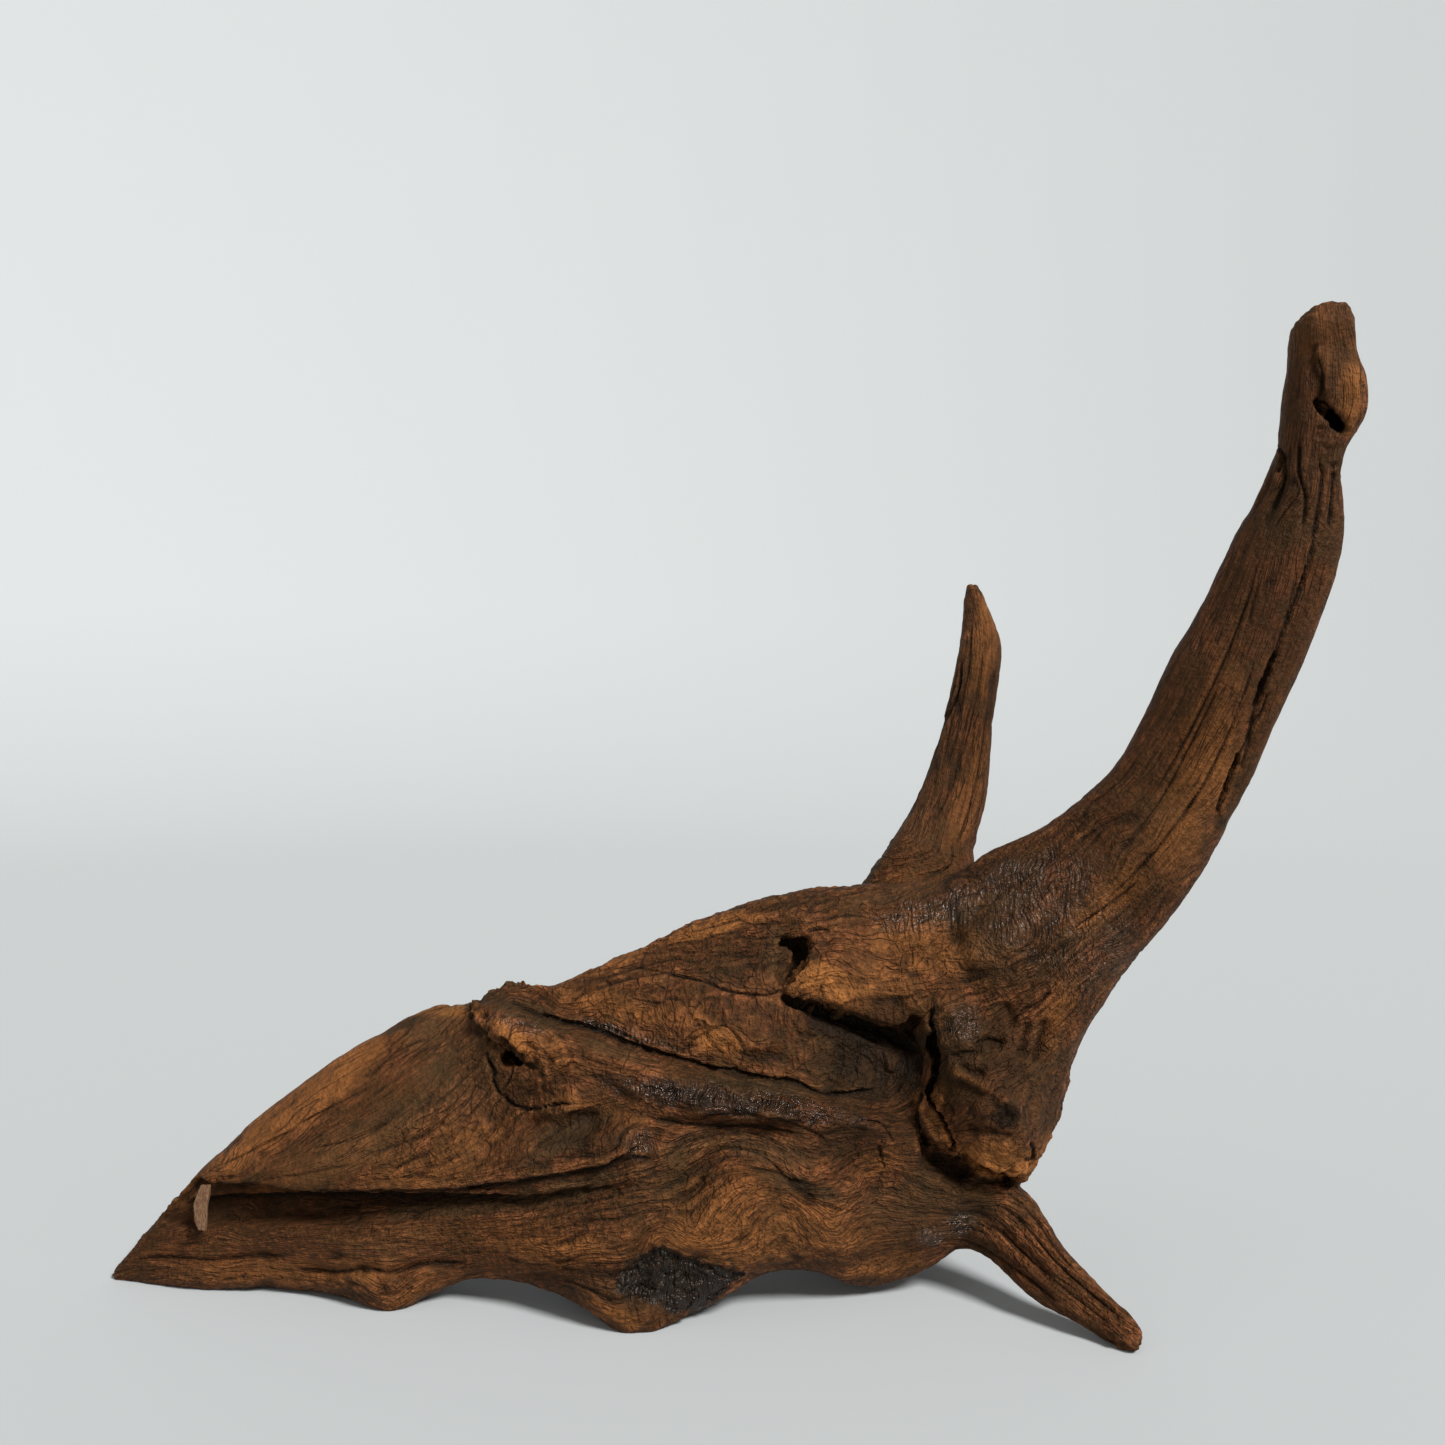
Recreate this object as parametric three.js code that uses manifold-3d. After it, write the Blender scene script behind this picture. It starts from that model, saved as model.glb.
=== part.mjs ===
// A branching piece of driftwood: a root stump with a tall curved limb, a short limb
// behind it and a thin root in front. Millimetres, +Z up, +X to the right, +Y to the back.
// The origin is on the surface that it rests on, under the middle of its box.

import * as THREE from 'three';
import * as BufferGeometryUtils from 'three/addons/utils/BufferGeometryUtils.js';
import Module from 'manifold-3d';

const wasm = await Module();
wasm.setup();

// Space left where two pieces meet at a fork, and where the chip touches the stump
const forkGap = 0.3;
// Half the size of the blocks that trim a piece
const blockSize = 400;
// How far in front of the piece a hollow's cutter begins
const cutterStart = -160;
// Share of a section's points that lie on its front, where the wood has its relief
const frontShare = 0.6;
// How full a section is between its edges: 1 is an ellipse, less is fuller
const fullness = 0.8;
// Corners of a solid that lie closer than this are one
const cornerTolerance = 1e-4;

// Sections of the stump and the tall limb, from the left tip to the broken top:
// the upper edge [x, y, z], the lower edge [x, y, z], and how far the wood swells
// to the front and to the back of the line between them.
const trunkSections = [
  [[-237, -2, 2], [-236, -4, -1], 1, 1],
  [[-229, 0, 11], [-222, -6, -1], 6, 6],
  [[-214, 4, 29], [-194, -12, -1], 10, 12],
  [[-189, 6, 55], [-164, -14, 1], 14, 18],
  [[-163, 6, 76], [-137, -22, 0], 17, 24],
  [[-145, 4, 89], [-121, -30, -2], 18, 28],
  [[-126, 4, 100], [-107, -26, 3], 20, 30],
  [[-110, 2, 108], [-93, -24, 8], 20, 33],
  [[-93, 0, 110], [-78, -28, 9], 20, 36],
  [[-82, 0, 117], [-62, -34, 8], 20, 38],
  [[-63, -2, 117], [-45, -44, 4], 20, 42],
  [[-44, -2, 126], [-29, -52, -3], 18, 46],
  [[-24, -2, 134], [-11, -46, 2], 20, 50],
  [[-9, -2, 142], [4, -40, 6], 22, 52],
  [[7, -2, 148], [19, -32, 12], 24, 54],
  [[26, -2, 154], [40, -28, 12], 24, 55],
  [[42, -2, 157], [59, -22, 3], 22, 55],
  [[54, 0, 158], [80, -20, 7], 22, 54],
  [[65, 2, 158], [98, -18, 17], 24, 52],
  [[75, 2, 158], [110, -22, 32], 26, 48],
  [[84, 2, 159], [122, -30, 48], 26, 42],
  [[93, 2, 161], [131, -32, 63], 24, 38],
  [[103, -2, 166], [136, -32, 84], 24, 34],
  [[110, -4, 171], [142, -32, 103], 24, 31],
  [[118, -8, 176], [151, -32, 117], 23, 28],
  [[128, -12, 181], [162, -32, 134], 22, 26],
  [[138, -16, 189], [174, -34, 149], 21, 24],
  [[148, -20, 199], [184, -36, 164], 20, 22],
  [[157, -22, 209], [192, -36, 178], 19, 21],
  [[164, -24, 222], [198, -38, 192], 18, 20],
  [[170, -26, 236], [205, -40, 207], 18, 19],
  [[175, -30, 251], [211, -42, 225], 17, 18],
  [[186, -32, 271], [219, -44, 244], 16, 17],
  [[195, -36, 294], [227, -46, 267], 15, 16],
  [[203, -40, 311], [232, -48, 286], 14, 15],
  [[207, -42, 322], [233, -50, 303], 13, 14],
  [[209, -44, 330], [231, -50, 318], 12, 13],
  [[210, -44, 339], [232, -52, 329], 12, 12],
  [[210, -46, 349], [238, -52, 340], 12, 12],
  [[211, -48, 360], [238, -54, 352], 11, 12],
  [[211, -48, 369], [234, -54, 364], 10, 11],
  [[213, -50, 376], [232, -56, 374], 9, 9],
  [[222, -50, 381], [230, -56, 381], 4, 4],
];
// The tall limb leaves the stump at this section
const tallFork = 26;

// Sections of the short limb behind the stump, from inside the stump to the pointed tip
const rearSections = [
  [[58, 24, 126], [112, 20, 118], 20, 22],
  [[62, 28, 150], [116, 26, 145], 18, 20],
  [[75, 34, 167], [113, 32, 166], 16, 17],
  [[87, 42, 183], [119, 38, 184], 14, 14],
  [[95, 46, 200], [122, 44, 200], 12, 12],
  [[102, 52, 219], [124, 48, 217], 11, 11],
  [[107, 57, 236], [127, 54, 232], 10, 10],
  [[111, 62, 252], [130, 58, 248], 9, 9],
  [[114, 66, 266], [131, 64, 259], 7, 8],
  [[115, 69, 276], [126, 67, 274], 5, 7],
  [[117, 70, 285], [122, 70, 284], 2, 2],
];
// The rear limb leaves its stub at this section
const rearFork = 2;

// Sections of the thin root in front, from inside the stump to its tip on the ground
const rootSections = [
  [[72, -8, 62], [60, -8, 12], 10, 18],
  [[90, -10, 58], [78, -12, 13], 11, 16],
  [[109, -20, 51], [95, -18, 17], 11, 14],
  [[122, -30, 44], [108, -26, 17], 10, 12],
  [[128, -38, 36], [118, -36, 11], 8, 9],
  [[132, -48, 29], [126, -46, 6], 7, 7],
  [[139, -56, 22], [135, -54, 4], 6, 6],
  [[146, -64, 16], [143, -62, 1], 5, 5],
  [[152, -70, 12], [149, -70, -1], 4, 5],
  [[156, -73, 7], [153, -74, -3], 2, 3],
];
// The root leaves its stub at this section
const rootFork = 3;

// The heel that carries the stump at the back: a short stout root, broken off
const heelSections = [
  [[86, 6, 84], [20, 6, 92], 16, 14],
  [[88, 24, 64], [26, 22, 70], 20, 18],
  [[84, 42, 40], [36, 40, 44], 20, 16],
  [[80, 54, 18], [44, 52, 20], 18, 14],
  [[76, 60, -4], [50, 58, -4], 15, 12],
];

// Soft forms on the front of the stump: a path of [x, z] points, half its width, and
// how far it stands out of the wood, or sinks in where the height is negative
const frontForms = [
  // dome of the fan at the left, and the lip of the ledge below it
  { path: [[-185, 58], [-150, 66], [-115, 78]], width: 26, height: 4 },
  { path: [[-200, 44], [-146, 49], [-100, 49], [-60, 53]], width: 7, height: 3 },
  // the plate that laps over the fan
  { path: [[-82, 112], [-62, 96], [-52, 84]], width: 9, height: 6 },
  { path: [[-104, 100], [-92, 86], [-84, 74]], width: 10, height: -4 },
  // long fold from the notch to the pocket, with the thick ridge below it
  { path: [[-78, 119], [-58, 111], [-27, 100], [18, 91], [45, 84]], width: 6, height: -5 },
  { path: [[-78, 108], [-58, 101], [-27, 90], [3, 82], [34, 77], [60, 75]], width: 9, height: 6 },
  { path: [[-60, 118], [-20, 116], [10, 106]], width: 14, height: 3 },
  // leaf and knot in the middle
  { path: [[-74, 62], [-58, 68], [-40, 66]], width: 8, height: 4 },
  { path: [[-68, 74], [-52, 76], [-38, 74]], width: 4, height: -4 },
  { path: [[-34, 66], [-26, 62]], width: 9, height: 5 },
  // hollow above the big swelling, and the swelling itself
  { path: [[-14, 52], [2, 66], [24, 69], [44, 66], [62, 54]], width: 8, height: -5 },
  { path: [[16, 40], [40, 38]], width: 24, height: 9 },
  // charred hollow low down at the middle
  { path: [[-26, 18], [-8, 20]], width: 9, height: -5 },
  // flap with its tip to the left, and the shoulder above it
  { path: [[36, 128], [52, 130], [72, 122]], width: 11, height: 8 },
  { path: [[44, 146], [76, 146], [100, 140]], width: 12, height: 3 },
  // hollow round the hole, and the pocket's lower slope
  { path: [[16, 138], [26, 134]], width: 10, height: -5 },
  { path: [[38, 96], [62, 90]], width: 10, height: -4 },
  // ragged lobe at the right, and the foot below it
  { path: [[98, 96], [108, 80], [114, 64]], width: 17, height: 10 },
  { path: [[66, 64], [74, 58]], width: 8, height: 4 },
  { path: [[84, 26], [96, 34]], width: 8, height: 3 },
];

// Soft forms on the back, which a piece like this has from its other broken roots
const backForms = [
  // a long swelling from the left tip, with a furrow above it
  { path: [[-190, 34], [-150, 46], [-100, 56], [-50, 60]], width: 16, height: 6 },
  { path: [[-176, 58], [-130, 76], [-80, 86], [-30, 90]], width: 7, height: -6 },
  // the hollow between the heel and the left end
  { path: [[-70, 30], [-30, 34], [0, 30]], width: 14, height: -9 },
  // the shoulder under the rear limb, and the folds that run into it
  { path: [[-40, 104], [0, 108], [50, 124], [84, 140]], width: 14, height: 6 },
  { path: [[-34, 122], [6, 128], [36, 140]], width: 6, height: -5 },
  { path: [[0, 84], [36, 92], [70, 104]], width: 7, height: -6 },
  // the furrow beside the lobe, and the rib that rises into the tall limb
  { path: [[98, 50], [108, 78], [118, 104]], width: 8, height: -6 },
  { path: [[100, 120], [124, 142], [158, 178]], width: 9, height: 4 },
];

// Hollows cut into the front, one outline each: x, z, how deep its floor lies there,
// and how far the floor reaches up behind the edge
const stumpHollows = {
  ledge: [
    [-216, 34, 7, 0], [-204, 39, 8, 1], [-177, 42, 9, 2], [-146, 43, 9, 2], [-108, 43, 9, 2],
    [-73, 45, 8, 2], [-43, 51, 5, 1], [-25, 56, 2, 0], [-25, 50, -1, 0], [-43, 42, -1, 0],
    [-73, 35, -1, 0], [-108, 31, -1, 0], [-146, 27, -1, 0], [-177, 26, -1, 0], [-200, 24, -1, 0],
    [-220, 22, 4, 0],
  ],
  notch: [
    [-92, 118, 6, 2], [-86, 109, 8, 0], [-81, 103, 9, 0], [-74, 97, 12, 0], [-72, 93, 12, 0],
    [-78, 91, 7, 0], [-85, 98, 3, 0], [-90, 106, 2, 0],
  ],
  fissure: [
    [-85, 97, 6, 0], [-82, 88, 8, 0], [-76, 80, 8, 0], [-66, 77, 6, 0], [-56, 79, 1, 0],
    [-66, 73, 1, 0], [-78, 76, 2, 0], [-86, 87, 1, 0],
  ],
  hole: [
    [25, 144, 8, 0], [31, 146, 16, 2], [37, 142, 20, 3], [37, 135, 22, 0], [33, 129, 20, 0],
    [28, 122, 14, 0], [23, 126, 6, 0], [26, 135, 10, 0],
  ],
  pocket: [
    [27, 124, 8, 1], [44, 119, 16, 4], [63, 115, 19, 5], [77, 112, 19, 5], [83, 105, 16, 0],
    [83, 92, 9, 0], [76, 86, -1, 0], [62, 85, -1, 0], [47, 90, -1, 0], [34, 102, -1, 0],
    [26, 116, -1, 0],
  ],
  cleft: [
    [83, 122, 10, 0], [86, 117, 20, 0], [85.5, 106, 24, 0], [88.5, 98, 24, 0], [87.5, 87, 22, 0],
    [90, 74, 16, 0], [98, 61, 12, 0], [94, 60, 12, 0], [86, 72, 14, 0], [82, 84, 18, 0],
    [82, 96, 22, 0], [81.5, 105, 22, 0], [82, 114, 20, 0],
  ],
  cave: [
    [79, 66, 9, 2], [88, 62, 15, 6], [97, 56, 17, 6], [110, 51, 16, 5], [121, 49, 14, 3],
    [112, 42, -1, 0], [96, 42, -1, 0], [84, 50, -1, 0],
  ],
};

const tallHollows = {
  crack: [
    [219, 276, 4, 0], [214.5, 254, 9, 0], [206, 236, 10, 0], [199, 219, 9, 0], [190, 197, 3, 0],
    [193.5, 218, 8, 0], [200.5, 236, 9, 0], [210, 254, 8, 0],
  ],
  hole: [
    [218, 347, 6, 0], [224, 344, 9, 1], [231, 337, 10, 1], [228, 333, 9, 0], [221, 337, 7, 0],
  ],
};

// The chip: its outline [x, z] from the end that is caught under the ledge, its thickness,
// the place of that end, and how far it leans forward, in degrees
const chipOutline = [[-2, 0], [2, 0], [1.6, -8], [2, -17.5], [-1, -17], [-3, -13.5], [-4, -7]];
const chipThickness = 2.2;
const chipPlace = [-197, -11, 40.6];
const chipLean = 22;

// Distance from a point to a path, both in the plane of the front
function distanceToPath(x, z, path) {
  const point = new THREE.Vector3(x, 0, z);
  const nearest = new THREE.Vector3();
  let best = Infinity;
  for (let i = 0; i + 1 < path.length; i++) {
    const start = new THREE.Vector3(path[i][0], 0, path[i][1]);
    const end = new THREE.Vector3(path[i + 1][0], 0, path[i + 1][1]);
    new THREE.Line3(start, end).closestPointToPoint(point, true, nearest);
    best = Math.min(best, nearest.distanceTo(point));
  }
  return best;
}

// How far all the forms of a list lift the wood at a place
function relief(forms, x, z) {
  let height = 0;
  for (const form of forms) {
    const away = distanceToPath(x, z, form.path) / form.width;
    height += form.height * Math.exp(-away * away);
  }
  return height;
}

// The small uneven swellings that weathered root wood has all over
function unevenness(point) {
  const broad = Math.sin(point.x / 13 + 1.3) * Math.sin(point.z / 11 + point.y / 17);
  const fine = Math.sin(point.x / 6.1 + point.z / 7.3) * Math.sin(point.y / 6.7 + point.z / 5.9);
  return broad + 0.6 * fine;
}

// A closed body through a row of sections. The rings run along it and the sides around it.
function loft(sections, rings, sides, lift) {
  const tops = new THREE.CatmullRomCurve3(sections.map((s) => new THREE.Vector3(...s[0])));
  const lows = new THREE.CatmullRomCurve3(sections.map((s) => new THREE.Vector3(...s[1])));
  const swells = new THREE.CatmullRomCurve3(sections.map((s) => new THREE.Vector3(s[2], s[3], 0)));
  const frontSides = Math.round(sides * frontShare);
  const geometry = new THREE.SphereGeometry(1, sides, rings + 1);
  const position = geometry.attributes.position;
  const step = 0.5 / sections.length;
  for (let row = 0; row <= rings + 1; row++) {
    const t = THREE.MathUtils.clamp((row - 1) / (rings - 1), 0, 1);
    const top = tops.getPoint(t);
    const low = lows.getPoint(t);
    const swell = swells.getPoint(t);
    const before = tops.getPoint(Math.max(t - step, 0)).add(lows.getPoint(Math.max(t - step, 0)));
    const after = tops.getPoint(Math.min(t + step, 1)).add(lows.getPoint(Math.min(t + step, 1)));
    const across = low.clone().sub(top);
    const back = new THREE.Vector3().crossVectors(across, after.sub(before)).normalize();
    if (back.y < 0) back.negate();
    const isEnd = row === 0 || row === rings + 1;
    for (let column = 0; column <= sides; column++) {
      const turn = sides - column;
      const onFront = turn <= frontSides;
      const angle = onFront
        ? Math.PI * turn / frontSides
        : Math.PI + Math.PI * (turn - frontSides) / (sides - frontSides);
      const share = isEnd ? 0.5 : (1 - Math.cos(angle)) / 2;
      const round = isEnd ? 0 : Math.pow(Math.abs(Math.sin(angle)), fullness);
      const point = top.clone().lerp(low, share);
      const reach = onFront ? -swell.x : swell.y;
      point.addScaledVector(back, reach * round);
      const outward = onFront ? -1 : 1;
      point.addScaledVector(back, outward * round * lift(point, onFront, angle, t));
      position.setXYZ(row * (sides + 1) + column, point.x, point.y, point.z);
    }
  }
  return geometry;
}

// A solid from a closed geometry
function solidOf(geometry) {
  const merged = geometry.clone();
  merged.deleteAttribute('normal');
  merged.deleteAttribute('uv');
  const joined = BufferGeometryUtils.mergeVertices(merged, cornerTolerance);
  return new wasm.Manifold(new wasm.Mesh({
    numProp: 3,
    vertProperties: new Float32Array(joined.attributes.position.array),
    triVerts: new Uint32Array(joined.index.array),
  }));
}

// A named mesh from a solid
function meshOf(name, solid, material) {
  const data = solid.getMesh();
  const geometry = new THREE.BufferGeometry();
  geometry.setAttribute('position', new THREE.BufferAttribute(data.vertProperties, 3));
  geometry.setIndex(new THREE.BufferAttribute(data.triVerts, 1));
  geometry.computeVertexNormals();
  const mesh = new THREE.Mesh(geometry, material);
  mesh.name = name;
  return mesh;
}

// A block that fills everything on one side of a plane
function halfSpace(point, direction) {
  const geometry = new THREE.BoxGeometry(2 * blockSize, 2 * blockSize, 2 * blockSize);
  geometry.translate(0, 0, blockSize);
  const turn = new THREE.Quaternion().setFromUnitVectors(new THREE.Vector3(0, 0, 1), direction);
  geometry.applyQuaternion(turn);
  geometry.translate(point.x, point.y, point.z);
  return solidOf(geometry);
}

// The plane of a fork: the middle of a section and the way the branch runs there
function forkPlane(sections, index) {
  const middle = (i) => {
    const top = new THREE.Vector3(...sections[i][0]);
    return top.lerp(new THREE.Vector3(...sections[i][1]), 0.5);
  };
  const direction = middle(index + 1).sub(middle(index - 1)).normalize();
  return { point: middle(index), direction };
}

// The part of a solid before a fork
function beforeFork(solid, fork) {
  const point = fork.point.clone().addScaledVector(fork.direction, -forkGap / 2);
  return solid.subtract(halfSpace(point, fork.direction));
}

// The part of a solid after a fork
function afterFork(solid, fork) {
  const point = fork.point.clone().addScaledVector(fork.direction, forkGap / 2);
  return solid.subtract(halfSpace(point, fork.direction.clone().negate()));
}

// Where the front of a surface lies at x, z
function frontAt(surface, x, z) {
  const origin = new THREE.Vector3(x, cutterStart, z);
  const hit = new THREE.Raycaster(origin, new THREE.Vector3(0, 1, 0)).intersectObject(surface)[0];
  return hit ? hit.point.y : null;
}

// A cutter that enters the front along an outline and ends on its own sloping floor
function hollowCutter(outline, surface) {
  const shape = new THREE.Shape(outline.map(([x, z]) => new THREE.Vector2(x, z)));
  const geometry = new THREE.ExtrudeGeometry(shape, { depth: 1, bevelEnabled: false });
  geometry.rotateX(Math.PI / 2);
  const heights = outline.map(([x, z]) => frontAt(surface, x, z));
  const known = heights.filter((y) => y !== null);
  const middle = known.reduce((sum, y) => sum + y, 0) / known.length;
  const position = geometry.attributes.position;
  for (let i = 0; i < position.count; i++) {
    if (position.getY(i) < -0.5) {
      position.setY(i, cutterStart);
      continue;
    }
    const x = position.getX(i);
    const z = position.getZ(i);
    const corner = outline.findIndex((p) => Math.hypot(p[0] - x, p[1] - z) < cornerTolerance * 10);
    const [, , depth, rise] = outline[corner];
    position.setY(i, (heights[corner] ?? middle) + depth);
    position.setZ(i, z + rise);
  }
  return solidOf(geometry);
}

// A solid with all the hollows of a set cut into its front
function cutHollows(solid, hollows, surface) {
  let result = solid;
  for (const outline of Object.values(hollows)) {
    result = result.subtract(hollowCutter(outline, surface));
  }
  return result;
}

// The stump's relief: its forms and its unevenness
function stumpLift(point, onFront) {
  return relief(onFront ? frontForms : backForms, point.x, point.z) + unevenness(point);
}

// The lengthwise ribs of a limb or root, which turn a little round it as they run
function ribbed(count, turns, height) {
  return (point, onFront, angle, t) => {
    return height * Math.sin(count * angle + turns * 2 * Math.PI * t) + 0.5 * unevenness(point);
  };
}

// Dry, weathered hardwood
function woodMaterial(color) {
  return new THREE.MeshStandardMaterial({ color, roughness: 0.75, metalness: 0 });
}

// The stump: the trunk up to the fork of the tall limb, with its hollows, the stubs of the
// other branches and the heel
function makeStump(tallPlane, rearSolid, rearPlane, rootSolid, rootPlane, ground) {
  const geometry = loft(trunkSections.slice(0, tallFork + 3), 68, 44, stumpLift);
  const trunk = cutHollows(solidOf(geometry), stumpHollows, new THREE.Mesh(geometry));
  const heel = solidOf(loft(heelSections, 9, 14, ribbed(3, 0.3, 1.2)));
  const branches = beforeFork(rearSolid, rearPlane).add(beforeFork(rootSolid, rootPlane));
  return beforeFork(trunk, tallPlane).add(branches).add(heel).subtract(ground);
}

// The tall limb, with the long drying crack and the knot hole near its top
function makeTallLimb(tallPlane) {
  const geometry = loft(trunkSections.slice(tallFork - 2), 34, 24, ribbed(4, 0.6, 1.1));
  const limb = cutHollows(solidOf(geometry), tallHollows, new THREE.Mesh(geometry));
  return afterFork(limb, tallPlane);
}

// The chip that hangs under the ledge
function makeChip() {
  const shape = new THREE.Shape(chipOutline.map(([x, z]) => new THREE.Vector2(x, z)));
  const geometry = new THREE.ExtrudeGeometry(shape, { depth: chipThickness, bevelEnabled: false });
  geometry.rotateX(Math.PI / 2 - THREE.MathUtils.degToRad(chipLean));
  geometry.translate(...chipPlace);
  return solidOf(geometry);
}

const ground = halfSpace(new THREE.Vector3(0, 0, 0), new THREE.Vector3(0, 0, -1));
const tallPlane = forkPlane(trunkSections, tallFork);
const rearPlane = forkPlane(rearSections, rearFork);
const rootPlane = forkPlane(rootSections, rootFork);
const rearSolid = solidOf(loft(rearSections, 20, 14, ribbed(3, 0.5, 0.9)));
const rootSolid = solidOf(loft(rootSections, 18, 14, ribbed(3, 0.4, 0.8)));
const stump = makeStump(tallPlane, rearSolid, rearPlane, rootSolid, rootPlane, ground);

const group = new THREE.Group();
group.add(meshOf('stump', stump, woodMaterial('#5e3b26')));
group.add(meshOf('tall_limb', makeTallLimb(tallPlane), woodMaterial('#6a452c')));
group.add(meshOf('rear_limb', afterFork(rearSolid, rearPlane), woodMaterial('#714a2f')));
group.add(meshOf('front_root', afterFork(rootSolid, rootPlane).subtract(ground), woodMaterial('#5a3a28')));
group.add(meshOf('splinter', makeChip(), woodMaterial('#8a6a5a')));

export default group;
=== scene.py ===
import math

import bmesh
import bpy
import numpy as np
from bpy.props import FloatProperty, FloatVectorProperty, IntProperty, PointerProperty
from mathutils import Matrix, Vector


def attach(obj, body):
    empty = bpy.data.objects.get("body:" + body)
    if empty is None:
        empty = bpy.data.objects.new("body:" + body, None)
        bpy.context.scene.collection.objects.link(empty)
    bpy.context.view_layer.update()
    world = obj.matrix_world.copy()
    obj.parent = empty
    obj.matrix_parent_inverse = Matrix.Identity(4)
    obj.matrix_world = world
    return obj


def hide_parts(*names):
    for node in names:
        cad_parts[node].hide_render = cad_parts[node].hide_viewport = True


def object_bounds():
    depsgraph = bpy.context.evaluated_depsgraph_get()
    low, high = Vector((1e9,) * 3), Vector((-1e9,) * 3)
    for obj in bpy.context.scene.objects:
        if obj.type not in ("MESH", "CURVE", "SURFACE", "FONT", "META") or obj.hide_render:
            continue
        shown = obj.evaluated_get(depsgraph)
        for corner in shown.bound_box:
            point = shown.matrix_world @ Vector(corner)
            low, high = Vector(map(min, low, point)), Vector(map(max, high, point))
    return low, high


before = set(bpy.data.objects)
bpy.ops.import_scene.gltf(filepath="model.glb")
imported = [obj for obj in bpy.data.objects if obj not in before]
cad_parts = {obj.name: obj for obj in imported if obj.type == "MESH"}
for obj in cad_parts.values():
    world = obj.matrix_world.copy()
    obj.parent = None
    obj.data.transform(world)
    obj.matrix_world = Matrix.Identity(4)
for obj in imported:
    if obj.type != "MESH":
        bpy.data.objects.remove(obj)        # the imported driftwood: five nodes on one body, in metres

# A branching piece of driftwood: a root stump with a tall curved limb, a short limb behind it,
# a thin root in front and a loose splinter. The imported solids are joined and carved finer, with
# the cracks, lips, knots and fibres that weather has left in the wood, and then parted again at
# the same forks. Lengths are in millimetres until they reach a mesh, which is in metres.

CAD_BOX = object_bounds()

bl_info = {
    "name": "Driftwood branch",
    "version": (1, 0, 0),
    "blender": (4, 5, 0),
    "location": "View3D > Sidebar > Driftwood",
    "description": "Carves and finishes a branching piece of driftwood around its packed solids",
    "category": "Object",
}

MM = 0.001
BODY = "root"
SEED = 71
NOISE_DRAWS = 4096
NOISE_PRIMES = (73856093, 19349663, 83492791)    # they scatter neighbouring cells among the draws

# Where the photo was taken from, and how it frames the piece
PHOTO_SIDE_PX = 1445
PHOTO_FOCAL_PX = 1472
PHOTO_EYE_MM = (-20.0, -589.5, 245.0)
PHOTO_YAW_DEG = 2.340
PHOTO_PITCH_DEG = -2.090
PHOTO_ROLL_DEG = 0.580
SENSOR_MM = 36.0
MM_PER_PX = 0.36         # about what a pixel covers on the wood nearest the camera
BACK_MM = (32, 18)       # the front's carving fades out between these depths (y)
REAR_FOOT_MM = (150, 172)        # the rear limb's own carving fades in between these heights

# The planes where the limbs and the root leave the stump: a point, the way out, and how far
# from the point the cut reaches
FORKS_MM = {
    "tall_limb": ((156.0, -25.0, 169.0), (0.647, -0.185, 0.740), 46.0),
    "rear_limb": ((94.0, 33.0, 166.5), (0.343, 0.319, 0.883), 34.0),
    "front_root": ((117.1, -29.8, 29.4), (0.710, -0.609, -0.355), 22.0),
}
# A place inside the stump and the way to the wood round it, given as a fork is
HEART_MM = ((0.0, 0.0, 80.0), (0.0, -1.0, 0.0), 0.0)
WOOD_NODES = ("stump", *FORKS_MM)
FORK_CLOSING_MM = 0.4
# A branch is known by one of its vertices: the nearest to a place this far past its fork, of those
# that lie past the cut
INTO_BRANCH_MM = 6.0
PAST_CUT_MM = 1.0

# The middle lines of the branches that have a grain of their own
REAR_LINE_MM = ((85, 29, 122), (92, 31, 158), (103, 40, 184), (108, 45, 200), (113, 50, 218),
                (117, 56, 234), (120, 60, 250), (122, 65, 263), (120, 70, 285))
ROOT_LINE_MM = ((66, -8, 37), (84, -11, 36), (102, -19, 34), (115, -28, 30), (123, -37, 24),
                (129, -47, 18), (137, -55, 13), (145, -63, 8), (155, -73, 2))
HEEL_LINE_MM = ((53, 6, 88), (57, 23, 67), (60, 41, 42), (62, 53, 19), (63, 59, 0))
REAR_REACH_MM = (34, 24)         # how far round its middle line the rear limb's own carving fades in
# Each middle line, how far round it its own grain fades in, and how far along it
OWN_GRAIN_MM = (
    (REAR_LINE_MM, REAR_REACH_MM, (36, 52)),
    (ROOT_LINE_MM, (30, 18), (40, 62)),
    (HEEL_LINE_MM, (36, 26), (22, 46)),
)
# Heights up the front of the wood and the tall limb, and the depth (y) of its middle at each
MIDDLE_MM = ((150, 200, 243, 290, 330, 380), (-24, -30, -38, -41, -48, -53))

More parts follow.
